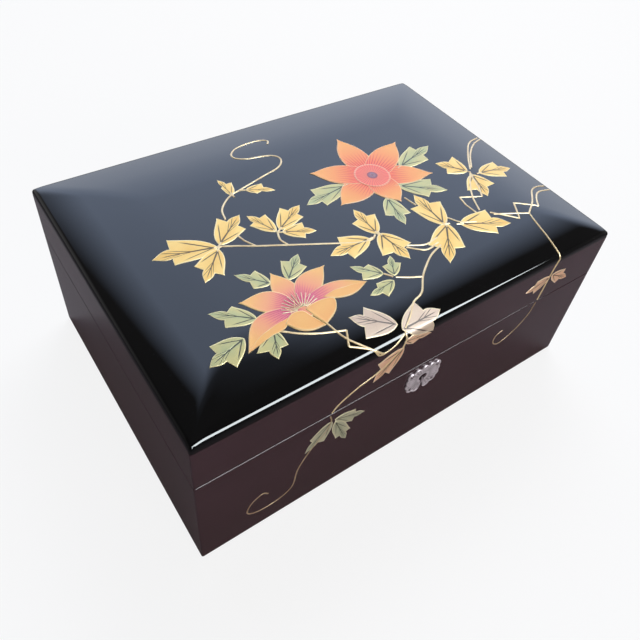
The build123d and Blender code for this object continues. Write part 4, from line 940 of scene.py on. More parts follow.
def buildEscutcheon():
    plate = {"middle": 58.7, "back": -90.0, "thickness": 0.9, "lobeRadius": 2.4,
             "lobes": [(0.0, 6.6), (4.5, 6.1), (8.6, 5.2), (8.9, 1.4), (8.9, -2.4), (7.4, -5.8), (3.6, -7.7)],
             "keyRadius": 2.5, "slot": 1.2, "drop": 5.4, "points": 288, "flutes": 26}
    lobes = plate["lobes"] + [(-x, z) for x, z in plate["lobes"][1:]]

    def lobeReach(dx, dz):
        # the furthest place where this ray leaves a lobe
        best = 0.0
        for x, z in lobes:
            near = dx * x + dz * z
            off = x * x + z * z - near * near
            if near > 0 and off < plate["lobeRadius"] ** 2:
                best = max(best, near + math.sqrt(plate["lobeRadius"] ** 2 - off))
        return best

    def keyReach(dx, dz):
        if dz >= 0:
            return plate["keyRadius"]
        side = plate["slot"] / abs(dx) if abs(dx) > 1e-6 else math.inf
        return max(plate["keyRadius"], min(side, plate["drop"] / -dz))

    # share of the way out, front height as a share of the thickness, relief of the flutes
    profile = ((0.0, 0.0, 0), (0.0, 0.6, 0), (0.02, 0.8, 0), (0.08, 0.92, 0), (0.13, 0.84, 0), (0.19, 0.74, 0),
               (0.3, 0.72, 0.3), (0.42, 0.76, 0.8), (0.56, 0.8, 1.0), (0.68, 0.8, 0.9), (0.78, 0.74, 0.5),
               (0.84, 0.7, 0), (0.88, 0.95, 0), (0.92, 1.12, 0), (0.965, 1.1, 0), (1.0, 0.7, 0), (1.0, 0.0, 0))
    verts, levels = [], []
    for share, front, flute in profile:
        for n, (dx, dz) in enumerate(circle(plate["points"])):
            turn = n * math.tau / plate["points"]
            inner, outer = keyReach(dx, dz), lobeReach(dx, dz)
            reach = inner + (outer - inner) * share
            wave = math.cos(turn * plate["flutes"] + math.sin(turn * 4) * 0.8) * 0.1 + math.cos(turn * 4) * 0.06
            level = front + flute * wave
            verts.append((dx * reach * mm, (plate["back"] - level * plate["thickness"]) * mm,
                          (plate["middle"] + dz * reach) * mm))
            levels.append(max(0.0, min(1.0, (level - 0.55) / 0.6)))
    material, tree, shader = newMaterial("antiqueSilver")
    lines = useGroup(tree, brushedLines, Stretch=(700.0, 700.0, 700.0), Base=(0.74, 0.66, 0.69),
                     Tarnish=(0.42, 0.35, 0.37))
    low = attribute(tree, "level").ramp((0.05, 0.0), (0.45, 1.0))
    send(shader, Metallic=0.5, Base_Color=low.mix((0.2, 0.16, 0.17), lines["Color"]),
         Roughness=lines["Roughness"] + 0.2, Normal=bump(lines["Height"], 0.5, 0.00005))
    escutcheon = meshObject("scallopedEscutcheon", verts, ringFaces(len(profile), plate["points"], wrap=True), material)
    setAttribute(escutcheon, "level", levels)
    outward(escutcheon, 1.0)
    riding(escutcheon, "case", "escutcheon", slot="silver")
    return material


antiqueSilver = buildEscutcheon()
print("escutcheon done")


# Velvet work

def addBlock(shape, low, high):
    # a block between two corners in millimetres; gives its points and its edges
    verts = bmesh.ops.create_cube(shape, size=1.0)["verts"]
    for vert in verts:
        vert.co = Vector([(a + b) / 2 + part * (b - a) for a, b, part in zip(low, high, vert.co)]) * mm
    return list(dict.fromkeys(edge for vert in verts for edge in vert.link_edges))


def roundEdges(shape, edges, offset, segments):
    bmesh.ops.bevel(shape, geom=edges, offset=offset * mm, segments=segments, profile=0.5, affect="EDGES")


def shapeObject(name, shape, material):
    thing = meshObject(name, [], material=material)
    bmesh.ops.recalc_face_normals(shape, faces=shape.faces)
    shape.to_mesh(thing.data)
    shape.free()
    return thing


def softBlocks(name, body, node, rounding, blocks, segments=3):
    # boards wrapped in velvet: blocks with rolled edges, each (x0, x1, y0, y1, z0, z1) in millimetres
    fullest = 0.46    # the most rounding, as a share of the thinnest side
    shape = bmesh.new()
    for block in blocks:
        low, high = block[::2], block[1::2]
        least = min(b - a for a, b in zip(low, high))
        roundEdges(shape, addBlock(shape, low, high), min(rounding, least * fullest), segments)
    thing = shapeObject(name, shape, redVelvet)
    thing.data.shade_smooth()
    thing.modifiers.new("faceNormals", "WEIGHTED_NORMAL").keep_sharp = True
    bake(thing)
    riding(thing, body, node, slot="red_velvet")


roomSizes = {"inX": 118.0, "inY": 81.0, "skin": 1.0, "low": 18.0, "high": 69.15, "channel": -58.6, "channelHalf": 1.5,
             "channelFoot": 35.7, "lidLow": 71.45, "lidHigh": 98.0}


def liningWalls(low, high):
    # linings of the back, left and right walls
    x, y, skin = roomSizes["inX"], roomSizes["inY"], roomSizes["skin"]
    return [(-x, x, y - skin, y, low, high), (-x, -x + skin, -y + skin, y - skin, low, high),
            (x - skin, x, -y + skin, y - skin, low, high)]


def buildLinings():
    x, front, back = roomSizes["inX"], -roomSizes["inY"], roomSizes["skin"] - roomSizes["inY"]
    low, high, lidLow, lidHigh = (roomSizes[key] for key in ("low", "high", "lidLow", "lidHigh"))
    left = roomSizes["channel"] - roomSizes["channelHalf"]
    right = roomSizes["channel"] + roomSizes["channelHalf"]
    softBlocks("caseVelvet", "case", "case_lining", 0.45, [
        (-x, left, front, back, low, high), (right, x, front, back, low, high),
        (left, right, front, back, low, roomSizes["channelFoot"]), *liningWalls(low, high)])
    softBlocks("floorVelvet", "case", "floor_lining", 0.6,
               [(-47, 117, -80, 80, 18, 20), (-117, -47, -17, 80, 18, 20)])
    softBlocks("partitionVelvet", "case", "music_partitions", 0.8,
               [(-50, -47, -80, -17, 18, 44), (-117, -50.1, -20, -17, 18, 44)])
    softBlocks("ledgeVelvet", "case", "cover_ledges", 0.6,
               [(-117, -61.6, -80, -77, 40, 44), (-117, -114, -76.9, -20, 40, 44)])
    softBlocks("dividerVelvet", "case", "lower_divider", 1.2, [(36, 39, -80, 80, 20, 44)])
    softBlocks("lidVelvet", "lid", "lid_lining", 0.45,
               [(-x, x, front, back, lidLow, lidHigh), *liningWalls(lidLow, lidHigh)])


def roundedLoop(halfX, halfY, radius, side=14, corner=6):
    # points round a rectangle with round corners, counted the same for every size
    def cornerPoint(cx, cy, degrees):
        turn = math.radians(degrees)
        return Vector((cx * (halfX - radius) + radius * math.cos(turn),
                       cy * (halfY - radius) + radius * math.sin(turn)))

    corners = ((1, 1), (-1, 1), (-1, -1), (1, -1))
    loop = []
    for n, (cx, cy) in enumerate(corners):
        loop += [cornerPoint(cx, cy, 90 * n + 90 * step / corner) for step in range(corner + 1)]
        goal = cornerPoint(*corners[(n + 1) % 4], 90 * (n + 1))
        loop += [loop[-1].lerp(goal, step / side) for step in range(1, side)]
    return loop


def buildMirrorFrame():
    # a padded velvet surround, crowned between the window and the lid's walls
    surround = {"window": (99.0, 63.0), "outer": (116.9, 79.9), "high": 98.0, "mirror": 95.4, "round": 1.2,
                "ripple": 0.12, "rippleTop": 94}
    high, mirror = surround["high"], surround["mirror"]
    # share of the way from the window to the walls, height
    profile = ((0.0, mirror), (-0.02, 94.4), (0.0, 93.4), (0.03, 92.6), (0.09, 92.0), (0.2, 91.7), (0.36, 91.6),
               (0.55, 91.62), (0.72, 91.75), (0.86, 92.1), (0.95, 92.8), (1.0, 93.8), (1.0, high), (0.5, high),
               (0.28, high), (0.24, mirror + 0.05))
    verts = []
    for share, height in profile:
        halfX, halfY = (a + (b - a) * share for a, b in zip(surround["window"], surround["outer"]))
        for n, spot in enumerate(roundedLoop(halfX, halfY, surround["round"] * (2 - share))):
            ripple = surround["ripple"] * math.sin(n * 0.9) * math.sin(math.pi * min(1, max(0, share)))
            verts.append((spot.x * mm, spot.y * mm, (height + ripple * (height < surround["rippleTop"])) * mm))
    rows = len(profile)
    surroundPad = meshObject("mirrorSurround", verts, ringFaces(rows, len(verts) // rows, wrap=True), redVelvet)
    outward(surroundPad, allSmooth)
    soften(surroundPad)
    riding(surroundPad, "lid", "mirror_frame", slot="red_velvet")


def buildTrayVelvet():
    softBlocks("trayBoards", "tray", "tray_frame", 1.1, [
        (-111.3, 111.3, -76, -73, 47, 67), (-111.3, 111.3, 27, 30, 47, 67), (-111.3, -108.3, -72.95, 26.95, 47, 67),
        (108.3, 111.3, -72.95, 26.95, 47, 67)], 4)
    softBlocks("trayFloorBoard", "tray", "tray_floor", 0.3, [(-108.2, 108.2, -72.9, 26.9, 47, 49.5)])
    softBlocks("trayFloorVelvet", "tray", "tray_lining", 0.4, [(-108.2, 108.2, -72.9, 26.9, 49.5, 50.5)])
    softBlocks("trayPartitions", "tray", "tray_dividers", 0.95, [
        (-14.3, -12.3, -72.9, 26.9, 50.4, 66), (46.3, 48.3, -72.9, 26.9, 50.4, 66),
        (-12.2, 46.2, -27, -25, 50.4, 66)], 4)


def puffed(thing, voxel, pressure, cap, footHeight, mass=0.2, lastFrame=20):
    # cloth blown up a little from inside, with the foot held and no point moving further than the cap
    shrink = thing.modifiers.new("evenMesh", "REMESH")
    shrink.mode, shrink.voxel_size = "VOXEL", voxel
    bake(thing)
    start = [vert.co.copy() for vert in thing.data.vertices]
    foot = thing.vertex_groups.new(name="foot")
    foot.add([n for n, spot in enumerate(start) if spot.z < footHeight], 1.0, "REPLACE")
    cloth = thing.modifiers.new("stuffing", "CLOTH")
    cloth.settings.vertex_group_mass = "foot"
    cloth.settings.use_pressure = True
    cloth.settings.uniform_pressure_force = pressure
    cloth.settings.mass = mass
    cloth.settings.effector_weights.gravity = 0.0
    cloth.point_cache.frame_start, cloth.point_cache.frame_end = 1, lastFrame
    for frameNumber in range(1, lastFrame + 1):
        bpy.context.scene.frame_set(frameNumber)
    graph = bpy.context.evaluated_depsgraph_get()
    moved = [vert.co.copy() for vert in thing.evaluated_get(graph).data.vertices]
    thing.modifiers.remove(cloth)
    bpy.context.scene.frame_set(1)
    furthest = 0.0
    for vert, old, new in zip(thing.data.vertices, start, moved):
        step = new - old
        furthest = max(furthest, step.length)
        vert.co = old + step * min(1.0, cap / max(step.length, 1e-9))
    thing.vertex_groups.clear()
    print(f"{thing.name} puffed, furthest {furthest / mm:.2f} mm")


def buildRowTree():
    # sets a shape on each point, every second one turned end for end
    tree, source = newTree("setInRow", Shape="Object")
    shape = put(tree, "GeometryNodeObjectInfo", Object=source["Shape"])
    spots = put(tree, "GeometryNodeMeshToPoints", Mesh=source["Geometry"])
    turn = wire(put(tree, "GeometryNodeInputIndex")).step("MODULO", 2.0) * math.pi
    return endOnPoints(tree, source, spots, wire(shape, "Geometry"), put(tree, "ShaderNodeCombineXYZ", Z=turn))


def buildRingRolls():
    # stuffed bars: one is shaped, blown up as cloth and softened, then set seven times by a geometry tree
    roll = {"count": 7, "left": -107.1, "right": -15.5, "front": -72.6, "pitch": 14.1714, "half": 6.3, "height": 11.3,
            "foot": 50.5, "stations": 64, "around": 36, "endRun": 6.5, "endCap": 0.3, "voxel": 1.5, "pressure": 4.0,
            "cap": 0.45, "heldFoot": 0.8}
    middle = (roll["left"] + roll["right"]) / 2
    reachX = (roll["right"] - roll["left"]) / 2 - roll["endCap"]
    stations, around = roll["stations"], roll["around"]
    verts = []
    for i in range(stations + 1):
        s = i / stations
        s = s * s * (3 - 2 * s) * 0.5 + s * 0.5
        x = reachX * (2 * s - 1)
        near = min(1.0, (reachX - abs(x)) / roll["endRun"])
        draw = 0.62 + 0.38 * math.sqrt(max(0.0, 1 - (1 - near) ** 2))
        for n, (side, up) in enumerate(circle(around)):
            flat = abs(side) ** 0.72 * math.copysign(1, side)
            tall = abs(up) ** (0.8 if up > 0 else 0.5) * math.copysign(1, up)
            gather = 0.2 * (1 - near) * math.sin(9 * math.tau * n / around) + 0.06 * math.sin(x * 0.45 + up)
            level = 0.46 + 0.54 * tall * draw if up > 0 else 0.46 + 0.46 * tall * (0.75 + 0.25 * draw)
            verts.append((x * mm, flat * (roll["half"] * draw * (1 - 0.12 * max(0.0, -up)) + gather) * mm,
                          (max(0.0, level) * roll["height"] + gather * 0.5 * (up > 0)) * mm))
    faces = ringFaces(stations + 1, around)
    for start, x in ((0, -reachX - roll["endCap"]), (stations * around, reachX + roll["endCap"])):
        faces += fanFaces(start, around, len(verts))
        verts.append((x * mm, 0, 0.45 * roll["height"] * mm))
    bar = meshObject("rollShape", verts, faces, redVelvet)
    outward(bar, allSmooth)
    puffed(bar, roll["voxel"] * mm, roll["pressure"], roll["cap"] * mm, roll["heldFoot"] * mm)
    for vert in bar.data.vertices:
        vert.co.z = max(vert.co.z, 0.0)
    soften(bar)
    rolls = meshObject("ringRolls", [(middle * mm, (roll["front"] + (n + 0.5) * roll["pitch"]) * mm, roll["foot"] * mm)
                                     for n in range(roll["count"])])
    runTree(rolls, buildRowTree(), Shape=bar, Material=redVelvet)
    bpy.data.objects.remove(bar)
    riding(rolls, "tray", "ring_rolls", slot="red_velvet")


buildLinings()
buildMirrorFrame()
buildTrayVelvet()
buildRingRolls()
print("velvet work done")


def makeMirror():
    material, tree, shader = newMaterial("silveredGlass")
    marks = useGroup(tree, handlingMarks, Cloud_Scale=18.0, Speck_Scale=420.0)
    send(shader, Metallic=1.0, IOR=1.52, Roughness=marks["Cloud"] * 0.02 + 0.01,
         Base_Color=marks["Specks"].mix((0.9, 0.92, 0.92), (0.72, 0.73, 0.72)))
    return material


def makeClearSheet():
    material, tree, shader = newMaterial("clearSheet")
    marks = useGroup(tree, handlingMarks, Cloud_Scale=45.0, Speck_Scale=600.0)
    send(shader, Transmission_Weight=1.0, IOR=1.49, Roughness=marks["Specks"] * 0.15,
         Base_Color=marks["Cloud"].mix((0.97, 0.985, 1.0), (0.94, 0.965, 0.99)))
    return material


dress(makeMirror(), "mirror_glass")
dress(makeClearSheet(), "music_cover")
dress(stainedPanel, "bottom_panel")


def buildFeltPads():
    pad = {"spots": [(x, y) for x in (-122.5, 122.5) for y in (-85.5, 85.5)], "radius": 3.8, "height": 0.8,
           "points": 40, "fuzz": 0.012, "fuzzFrom": 0.9, "weld": 0.00002}
    # share of the radius, share of the height; the poles are all but closed, and then welded
    profile = ((0.001, 0.0), (0.6, 0.0), (0.93, 0.02), (1.0, 0.3), (0.985, 0.7), (0.93, 1.0), (0.001, 1.0))
    verts, faces = [], []
    for x, y in pad["spots"]:
        faces += ringFaces(len(profile), pad["points"], len(verts))
        for share, level in profile:
            for n, (side, up) in enumerate(circle(pad["points"])):
                fuzz = math.sin(n * math.tau / pad["points"] * 13 + x) * (share > pad["fuzzFrom"])
                reach = share * pad["radius"] * (1 + pad["fuzz"] * fuzz)
                verts.append(((x + reach * side) * mm, (y + reach * up) * mm, level * pad["height"] * mm))
    pads = meshObject("feltPads", verts, faces, blackFelt)
    outward(pads, allSmooth, weld=pad["weld"])
    riding(pads, "case", "felt_pads", slot="black_felt")


buildFeltPads()
print("mirror, cover, panel and pads done")


# Screws and pins: heads made once, set on points by one geometry tree

def headMesh(name, profile, slot=None, count=24):
    # a turned head from (radius, height) pairs; a slot cuts it into two halves above a full disc
    if not slot:
        verts, faces = turned(profile, count, scale=1)
    else:
        below = sum(height < slot["floor"] for _, height in profile)
        step = (profile[below][0], slot["floor"])
        upper, wide = [step] + profile[below:], count // 2 + 1
        verts, faces = turned(profile[:below] + [step], count, scale=1)
        for sign in (1, -1):
            first = len(verts)
            for radius, height in upper:
                start = math.asin(min(0.95, slot["half"] / radius))
                for n in range(wide):
                    turn = start + (math.pi - 2 * start) * n / (wide - 1)
                    verts.append((radius * math.cos(turn) * sign, radius * math.sin(turn) * sign, height))
            faces += ringFaces(len(upper), wide, first)
            faces.append(tuple(range(len(verts) - wide, len(verts))))
    head = meshObject(name, verts, faces, steel)
    outward(head, 0.6)
    return head


def buildFastenerTree():
    tree, source = newTree("setFasteners", Head="Object", Size="Float", Shank_Radius="Float", Shank_Length="Float")
    shape = put(tree, "GeometryNodeObjectInfo", Object=source["Head"])
    head = put(tree, "GeometryNodeTransform", Geometry=wire(shape, "Geometry"), Scale=source["Size"])
    shank = put(tree, "GeometryNodeMeshCylinder", Vertices=14, Radius=source["Shank Radius"],
                Depth=source["Shank Length"])
    low = put(tree, "ShaderNodeCombineXYZ", Z=source["Shank Length"] * -0.5)
    whole = put(tree, "GeometryNodeJoinGeometry",
                Geometry=put(tree, "GeometryNodeTransform", Geometry=shank, Translation=low))
    send(whole, Geometry=head)
    facing, twist = (put(tree, "GeometryNodeInputNamedAttribute", {"data_type": kind}, Name=name)
                     for name, kind in (("facing", "FLOAT_VECTOR"), ("twist", "FLOAT")))
    aim = put(tree, "FunctionNodeAlignRotationToVector", {"axis": "Z"}, Vector=facing)
    around = put(tree, "FunctionNodeAxisAngleToRotation", Axis=(0, 0, 1), Angle=twist)
    spin = put(tree, "FunctionNodeRotateRotation", {"rotation_space": "LOCAL"}, Rotation=aim, Rotate_By=around)
    spots = put(tree, "GeometryNodeMeshToPoints", Mesh=source["Geometry"])
    return endOnPoints(tree, source, spots, whole, spin)


fastenerTree = buildFastenerTree()
slottedHead = headMesh("slottedHead", [(0.86, 0.0), (0.97, 0.06), (1.0, 0.3), (1.0, 0.34), (0.95, 0.42), (0.8, 0.47),
                                       (0.4, 0.5)], {"floor": 0.24, "half": 0.14})
domedHead = headMesh("domedHead", [(1.0, 0.0), (1.0, 0.1), (0.94, 0.26), (0.8, 0.38), (0.55, 0.47), (0.25, 0.5)])


def setFasteners(name, node, body, slot, material, size, shank, facing, spots, head):
    # spots are in millimetres, and every screw stops at its own angle; with no facing it faces the middle
    thing = meshObject(name, [tuple(value * mm for value in spot) for spot in spots])
    ways = [facing or (-math.copysign(1, spot[0]), 0, 0) for spot in spots]
    setAttribute(thing, "facing", [value for way in ways for value in way], "FLOAT_VECTOR")
    setAttribute(thing, "twist", [(n * 2.4 + len(name)) % math.pi for n in range(len(spots))])
    runTree(thing, fastenerTree, Head=head, Size=size * mm, Shank_Radius=shank[0] * mm, Shank_Length=shank[1] * mm,
            Material=material)
    outward(thing, turn=False)
    riding(thing, body, node, slot=slot)


def buildScrews():
    sides, up, down, front, inward = (-1, 1), (0, 0, 1), (0, 0, -1), (0, -1, 0), None
    hinges = [(side + step, 84.9) for side in (-78, 78) for step in (-10, 0, 10)]
    for row in (
            ("hingeScrewsCase", "hinge_screws_case", "case", "brass", brass, 2.0, (1.0, 6.0), up,
             [(*spot, 69.15) for spot in hinges]),
            ("hingeScrewsLid", "hinge_screws_lid", "lid", "brass", brass, 2.0, (1.0, 6.0), down,
             [(*spot, 71.45) for spot in hinges]),
            ("strikeScrews", "strike_screws", "lid", "brass", brass, 1.95, (1.0, 6.0), down,
             [(x, -84.2, 71.45) for x in (-10, 10)]),
            ("bracketScrews", "bracket_screws", "lid", "steel", steel, 1.7, (0.9, 6.0), inward,
             [(side * 116.0, 65.6, height) for side in sides for height in (79.3, 86.8)]),
            ("armScrews", "arm_screws", "case", "steel", steel, 2.8, (1.4, 6.4), inward,
             [(side * 115.5, y, z) for side in sides for y, z in ((-5, 50), (57, 58))]),
            ("bedScrews", "movement_screws", "case", "steel", steel, 2.75, (1.4, 5.9), down,
             [(-104.5, -66.5, 14.0), (-104.5, -29.5, 14.0), (-59.5, -29.5, 14.0)]),
            ("combScrews", "comb_screws", "case", "steel", blueSteel, 2.1, (1.1, 11.7), up,
             [(x, -30.2, 31.75) for x in (-80.56, -73.0, -65.44)])):
        setFasteners(*row, slottedHead)
    setFasteners("escutcheonPins", "escutcheon_pins", "case", "silver", antiqueSilver, 0.95, (0.45, 0.7), front,
                 [(x, -90.75, z) for x, z in ((7.4, 52.9), (-7.4, 52.9), (8.6, 63.9), (-8.6, 63.9))], domedHead)
    for head in (slottedHead, domedHead):
        bpy.data.objects.remove(head)


buildScrews()
print("screws and pins done")

dress(brass, "hinge_leaves_case", "hinge_leaves_lid", "hinge_pins", "strike_plate", "lock_body")
dress(steel, "rear_arms", "front_arms", "lid_links", "lid_brackets", "tray_pivots", "lock_bolt", "stop_plunger")


# Movement

def buildPinTree():
    # points round the drum, thinned by chance, become pins that stand away from its axis
    tree, source = newTree("pinDrum", Pin_Height="Float", Pin_Radius="Float", Seed="Int", Chance="Float",
                           Axis_Y="Float", Axis_Z="Float")
    pin = put(tree, "GeometryNodeMeshCylinder", Vertices=6, Radius=source["Pin Radius"],
              Depth=source["Pin Height"] * 2.0)
    draw = put(tree, "FunctionNodeRandomValue", {"data_type": "FLOAT"}, Seed=source["Seed"])
    dropped = put(tree, "FunctionNodeCompare", {"data_type": "FLOAT", "operation": "GREATER_THAN"},
                  A=wire(draw, 1), B=source["Chance"])
    spots = put(tree, "GeometryNodeMeshToPoints", Mesh=source["Geometry"])
    kept = put(tree, "GeometryNodeDeleteGeometry", Geometry=spots, Selection=dropped)
    _, y, z = splitXYZ(tree, put(tree, "GeometryNodeInputPosition"))
    away = put(tree, "ShaderNodeCombineXYZ", Y=y - source["Axis Y"], Z=z - source["Axis Z"])
    aim = put(tree, "FunctionNodeAlignRotationToVector", {"axis": "Z"}, Vector=away)
    return endOnPoints(tree, source, kept, pin, aim)


def buildCylinder():
    drum = {"left": -84.0, "right": -62.0, "radius": 6.5, "y": -53.0, "z": 31.29, "rows": 18, "firstRow": -83.2,
            "pitch": 1.2, "steps": 44, "stagger": 0.37, "pinHeight": 0.55, "pinRadius": 0.13, "chance": 0.36,
            "seed": 7, "points": 96}
    r, y, z = drum["radius"], drum["y"], drum["z"]
    # radius, distance in from the end
    end = [(0.9, 0), (r - 0.9, 0), (r - 0.8, 0.5), (r - 0.35, 0.5), (r - 0.3, 0), (r - 0.05, 0.02), (r, 0.15)]
    profile = ([(radius, drum["left"] + inset) for radius, inset in end]
               + [(radius, drum["right"] - inset) for radius, inset in reversed(end)])
    barrel = meshObject("pinnedCylinder", *turned(profile, drum["points"], (0, y, z), "X"), brass)
    outward(barrel)
    riding(barrel, "cylinder", "music_cylinder", slot="brass")
    points = []
    for row in range(drum["rows"]):
        for step in range(drum["steps"]):
            turn = (step + drum["stagger"] * (row % 3)) * math.tau / drum["steps"]
            points.append(((drum["firstRow"] + row * drum["pitch"]) * mm, (y + r * math.cos(turn)) * mm,
                           (z + r * math.sin(turn)) * mm))
    pins = meshObject("cylinderPins", points)
    runTree(pins, buildPinTree(), Pin_Height=drum["pinHeight"] * mm, Pin_Radius=drum["pinRadius"] * mm,
            Seed=drum["seed"], Chance=drum["chance"], Axis_Y=y * mm, Axis_Z=z * mm, Material=steel)
    riding(pins, "cylinder", slot="steel")


fan = {"x": -58.6, "y": -69.037, "wormLow": 24.37, "wormHigh": 31.37, "root": 0.72, "crest": 1.2, "lead": 1.26,
       "rings": 64, "points": 24, "bladeLow": 33.17, "bladeHigh": 38.17, "bladeFrom": 0.5, "bladeTo": 5.0,
       "bladeHalfThick": 0.2, "bladeRound": 1.1}


def buildWorm():
    foot = [(0.25, 22.97), (0.55, 22.97), (1.1, 23.05), (1.15, 23.3), (1.15, 23.7), (1.1, 23.95), (0.55, 24.0)]
    top = [(0.55, 31.7), (1.1, 31.8), (1.15, 32.0), (1.15, 32.5), (1.1, 32.75), (0.6, 32.8), (0.6, 38.4), (0.35, 38.6)]
    low, high, rings, count = fan["wormLow"], fan["wormHigh"], fan["rings"], fan["points"]
    thread = [(fan["root"], low + (high - low) * n / rings) for n in range(rings + 1)]
    verts, faces = turned(foot + thread + top, count, (fan["x"], fan["y"], 0))
    for row, (_, height) in enumerate(thread, len(foot)):
        ends = min(1.0, min(height - low, high - height) / 0.5)
        for n, (side, up) in enumerate(circle(count)):
            phase = (height / fan["lead"] - n / count) % 1.0
            lift = min(1.0, max(0.0, 1.5 - abs(phase - 0.5) * 4.4)) * ends
            reach = fan["root"] + (fan["crest"] - fan["root"]) * lift
            verts[row * count + n] = ((fan["x"] + reach * side) * mm, (fan["y"] + reach * up) * mm, height * mm)
    worm = meshObject("governorWorm", verts, faces, blueSteel)
    outward(worm)
    riding(worm, "governor_fan", "governor_fan", slot="steel")


def buildBlades():
    shape = bmesh.new()
    for sign in (1, -1):
        thick = fan["bladeHalfThick"]
        edges = addBlock(shape, (fan["x"] + sign * fan["bladeFrom"], fan["y"] - thick, fan["bladeLow"]),
                         (fan["x"] + sign * fan["bladeTo"], fan["y"] + thick, fan["bladeHigh"]))
        across = [edge for edge in edges if abs((edge.verts[0].co - edge.verts[1].co).y) > thick * mm]
        roundEdges(shape, across, fan["bladeRound"], 5)
    blades = shapeObject("governorBlades", shape, brass)
    outward(blades)
    riding(blades, "governor_fan", slot="brass")


buildCylinder()
buildWorm()
buildBlades()
dress(brass, "spring_barrel", "governor_wheel", "bearing_plates")
dress(blueSteel, "mainspring")
dress(steel, "comb", "cylinder_arbor", "winding_arbor", "winding_key", "governor_frame")
dress(castZinc, "movement_bed", "comb_riser")
print("movement done")


# Floor, light and camera

def mixShader(tree, share, first, second):
    node = put(tree, "ShaderNodeMixShader")
    for place, value in enumerate((share, first, second)):
        plug(node.inputs[place], value)
    return node


def buildFloor():
    # the floor's colour for glossy rays is a painted reflection, a dim brown glow that only reflections show
    floorSizes = {"half": 12.0, "below": 0.0002, "color": (0.76, 0.76, 0.76), "seenShare": 0.86,
                  "paintedReflectionColor": (0.05, 0.03, 0.03), "paintedReflectionShare": 0.8}
    half = floorSizes["half"]
    material, tree, shader = newMaterial("paleFloor")
    send(shader, Roughness=0.9, Base_Color=floorSizes["color"], Specular_IOR_Level=0.0)
    glow = put(tree, "ShaderNodeEmission", Color=(1, 1, 1), Strength=1.0)
    rays = wires(put(tree, "ShaderNodeLightPath"))
    seen = rays["Is Camera Ray"].step("ADD", rays["Is Transmission Ray"], clamp=True)
    bright = mixShader(tree, seen * floorSizes["seenShare"], shader, glow)
    # painted reflection: glossy rays see the floor mostly as a dim brown glow, so the lacquer mirrors a darker floor
    # than the camera sees
    paintedDarkReflection = put(tree, "ShaderNodeEmission", Color=floorSizes["paintedReflectionColor"], Strength=1.0)
    send(tree.nodes["Material Output"],
         Surface=mixShader(tree, rays["Is Glossy Ray"] * floorSizes["paintedReflectionShare"], bright, paintedDarkReflection))
    floor = meshObject("paleFloor", [(-half, -half, 0), (half, -half, 0), (half, half, 0), (-half, half, 0)],
                       [(0, 1, 2, 3)], material, smooth=False)
    floor.location.z = -floorSizes["below"]


def buildWorld():
    # a broad soft light from behind on the right, pale low down behind, dim in front and overhead
    sky = {"level": 2.5, "tint": (0.76, 0.93, 1.28), "toward": (0.56, 0.828), "behind": 0.5, "front": 0.1,
           "overhead": 0.04}
    world = bpy.data.worlds.new("studio")
    bpy.context.scene.world = world
    world.use_nodes = True
    tree = world.node_tree
    tree.nodes.clear()
    x, y, z = splitXYZ(tree, wire(put(tree, "ShaderNodeTexCoord"), "Generated"))
    flat = (x * x + y * y).step("SQRT").step("MAXIMUM", 0.001)
    toward = (x * sky["toward"][0] + y * sky["toward"][1]) / flat
    side = toward.ramp((0.585, 0.0), (0.785, 1.0))
    lift = z.ramp((0.02, 0.25), (0.3, 0.5), (0.58, 0.8), (0.84, 0.74), (0.925, 0.07), (0.97, 0.0))
    band = z.ramp((0.0, 1.0), (0.3, 1.0), (0.6, 0.12))
    around = (toward * 0.5 + 0.5).ramp((0.45, 0.0), (0.75, 1.0))
    level = band * (around * sky["behind"]) + band * sky["front"] + sky["overhead"]
    softColor = mixColor(tree, 1.0, sky["tint"], side * lift * sky["level"], "MULTIPLY")
    lit = put(tree, "ShaderNodeBackground", Color=mixColor(tree, 1.0, softColor, level, "ADD"))
    plain = put(tree, "ShaderNodeBackground", Color=(1, 1, 1), Strength=1.0)
    seen = wire(put(tree, "ShaderNodeLightPath"), "Is Camera Ray")
    put(tree, "ShaderNodeOutputWorld", Surface=mixShader(tree, seen, lit, plain))


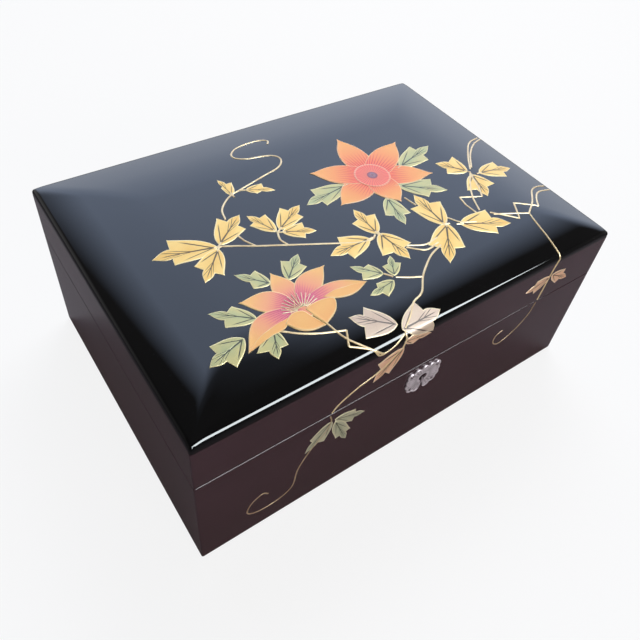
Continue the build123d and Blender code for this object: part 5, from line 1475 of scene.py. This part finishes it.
# the key and the fill light only matt surfaces, the strip only draws the bright line on rounded edges
lamps = {
    "softKey": {"place": (0.62, 0.6, 1.15), "target": (0, 0, 0.05), "width": 0.7, "height": 0.7, "power": 10.5,
                "color": (1.0, 0.97, 0.94), "unseenBy": "glossy"},
    "frontFill": {"place": (-0.1, -1.25, 0.45), "target": (0, 0, 0.05), "width": 0.9, "height": 0.7, "power": 8.0,
                  "color": (1.0, 0.95, 0.93), "unseenBy": "glossy"},
    "edgeStrip": {"place": (0.5, -0.93, 1.43), "target": (-0.05, -0.09, 0.09), "width": 1.6, "height": 0.8,
                  "power": 84.0, "color": (0.9, 0.97, 1.0), "unseenBy": "diffuse"}}


def buildLamps():
    for name, lamp in lamps.items():
        light = bpy.data.lights.new(name, "AREA")
        light.shape = "RECTANGLE"
        light.size, light.size_y, light.energy = lamp["width"], lamp["height"], lamp["power"]
        light.color = lamp["color"]
        thing = bpy.data.objects.new(name, light)
        bpy.context.collection.objects.link(thing)
        thing.location = lamp["place"]
        aim = Vector(lamp["target"]) - Vector(lamp["place"])
        thing.rotation_euler = aim.to_track_quat("-Z", "Y").to_euler()
        setattr(thing, "visible_" + lamp["unseenBy"], False)


def buildCamera():
    view = {"place": (-0.17155, -0.20932, 0.32223), "right": (0.8142, -0.5731, 0.0928),
            "down": (-0.3623, -0.6264, -0.6902), "forward": (0.4537, 0.5284, -0.7176),
            "focal": 647.591, "centre": (330.078, 287.314), "frame": 640.0, "sensor": 36.0, "nearest": 0.01}
    data = bpy.data.cameras.new("photoView")
    data.sensor_width = view["sensor"]
    data.lens = view["focal"] / view["frame"] * view["sensor"]
    data.shift_x = (view["frame"] / 2 - view["centre"][0]) / view["frame"]
    data.shift_y = (view["centre"][1] - view["frame"] / 2) / view["frame"]
    data.clip_start = view["nearest"]
    camera = bpy.data.objects.new("photoView", data)
    bpy.context.collection.objects.link(camera)
    right, down, forward = (Vector(view[key]) for key in ("right", "down", "forward"))
    turn = Matrix((right, -down, -forward)).transposed()
    camera.matrix_world = Matrix.Translation(view["place"]) @ turn.to_4x4()
    bpy.context.scene.camera = camera


buildFloor()
buildWorld()
buildLamps()
buildCamera()
bpy.context.scene.view_settings.view_transform = "Standard"
print("floor, light and camera done")
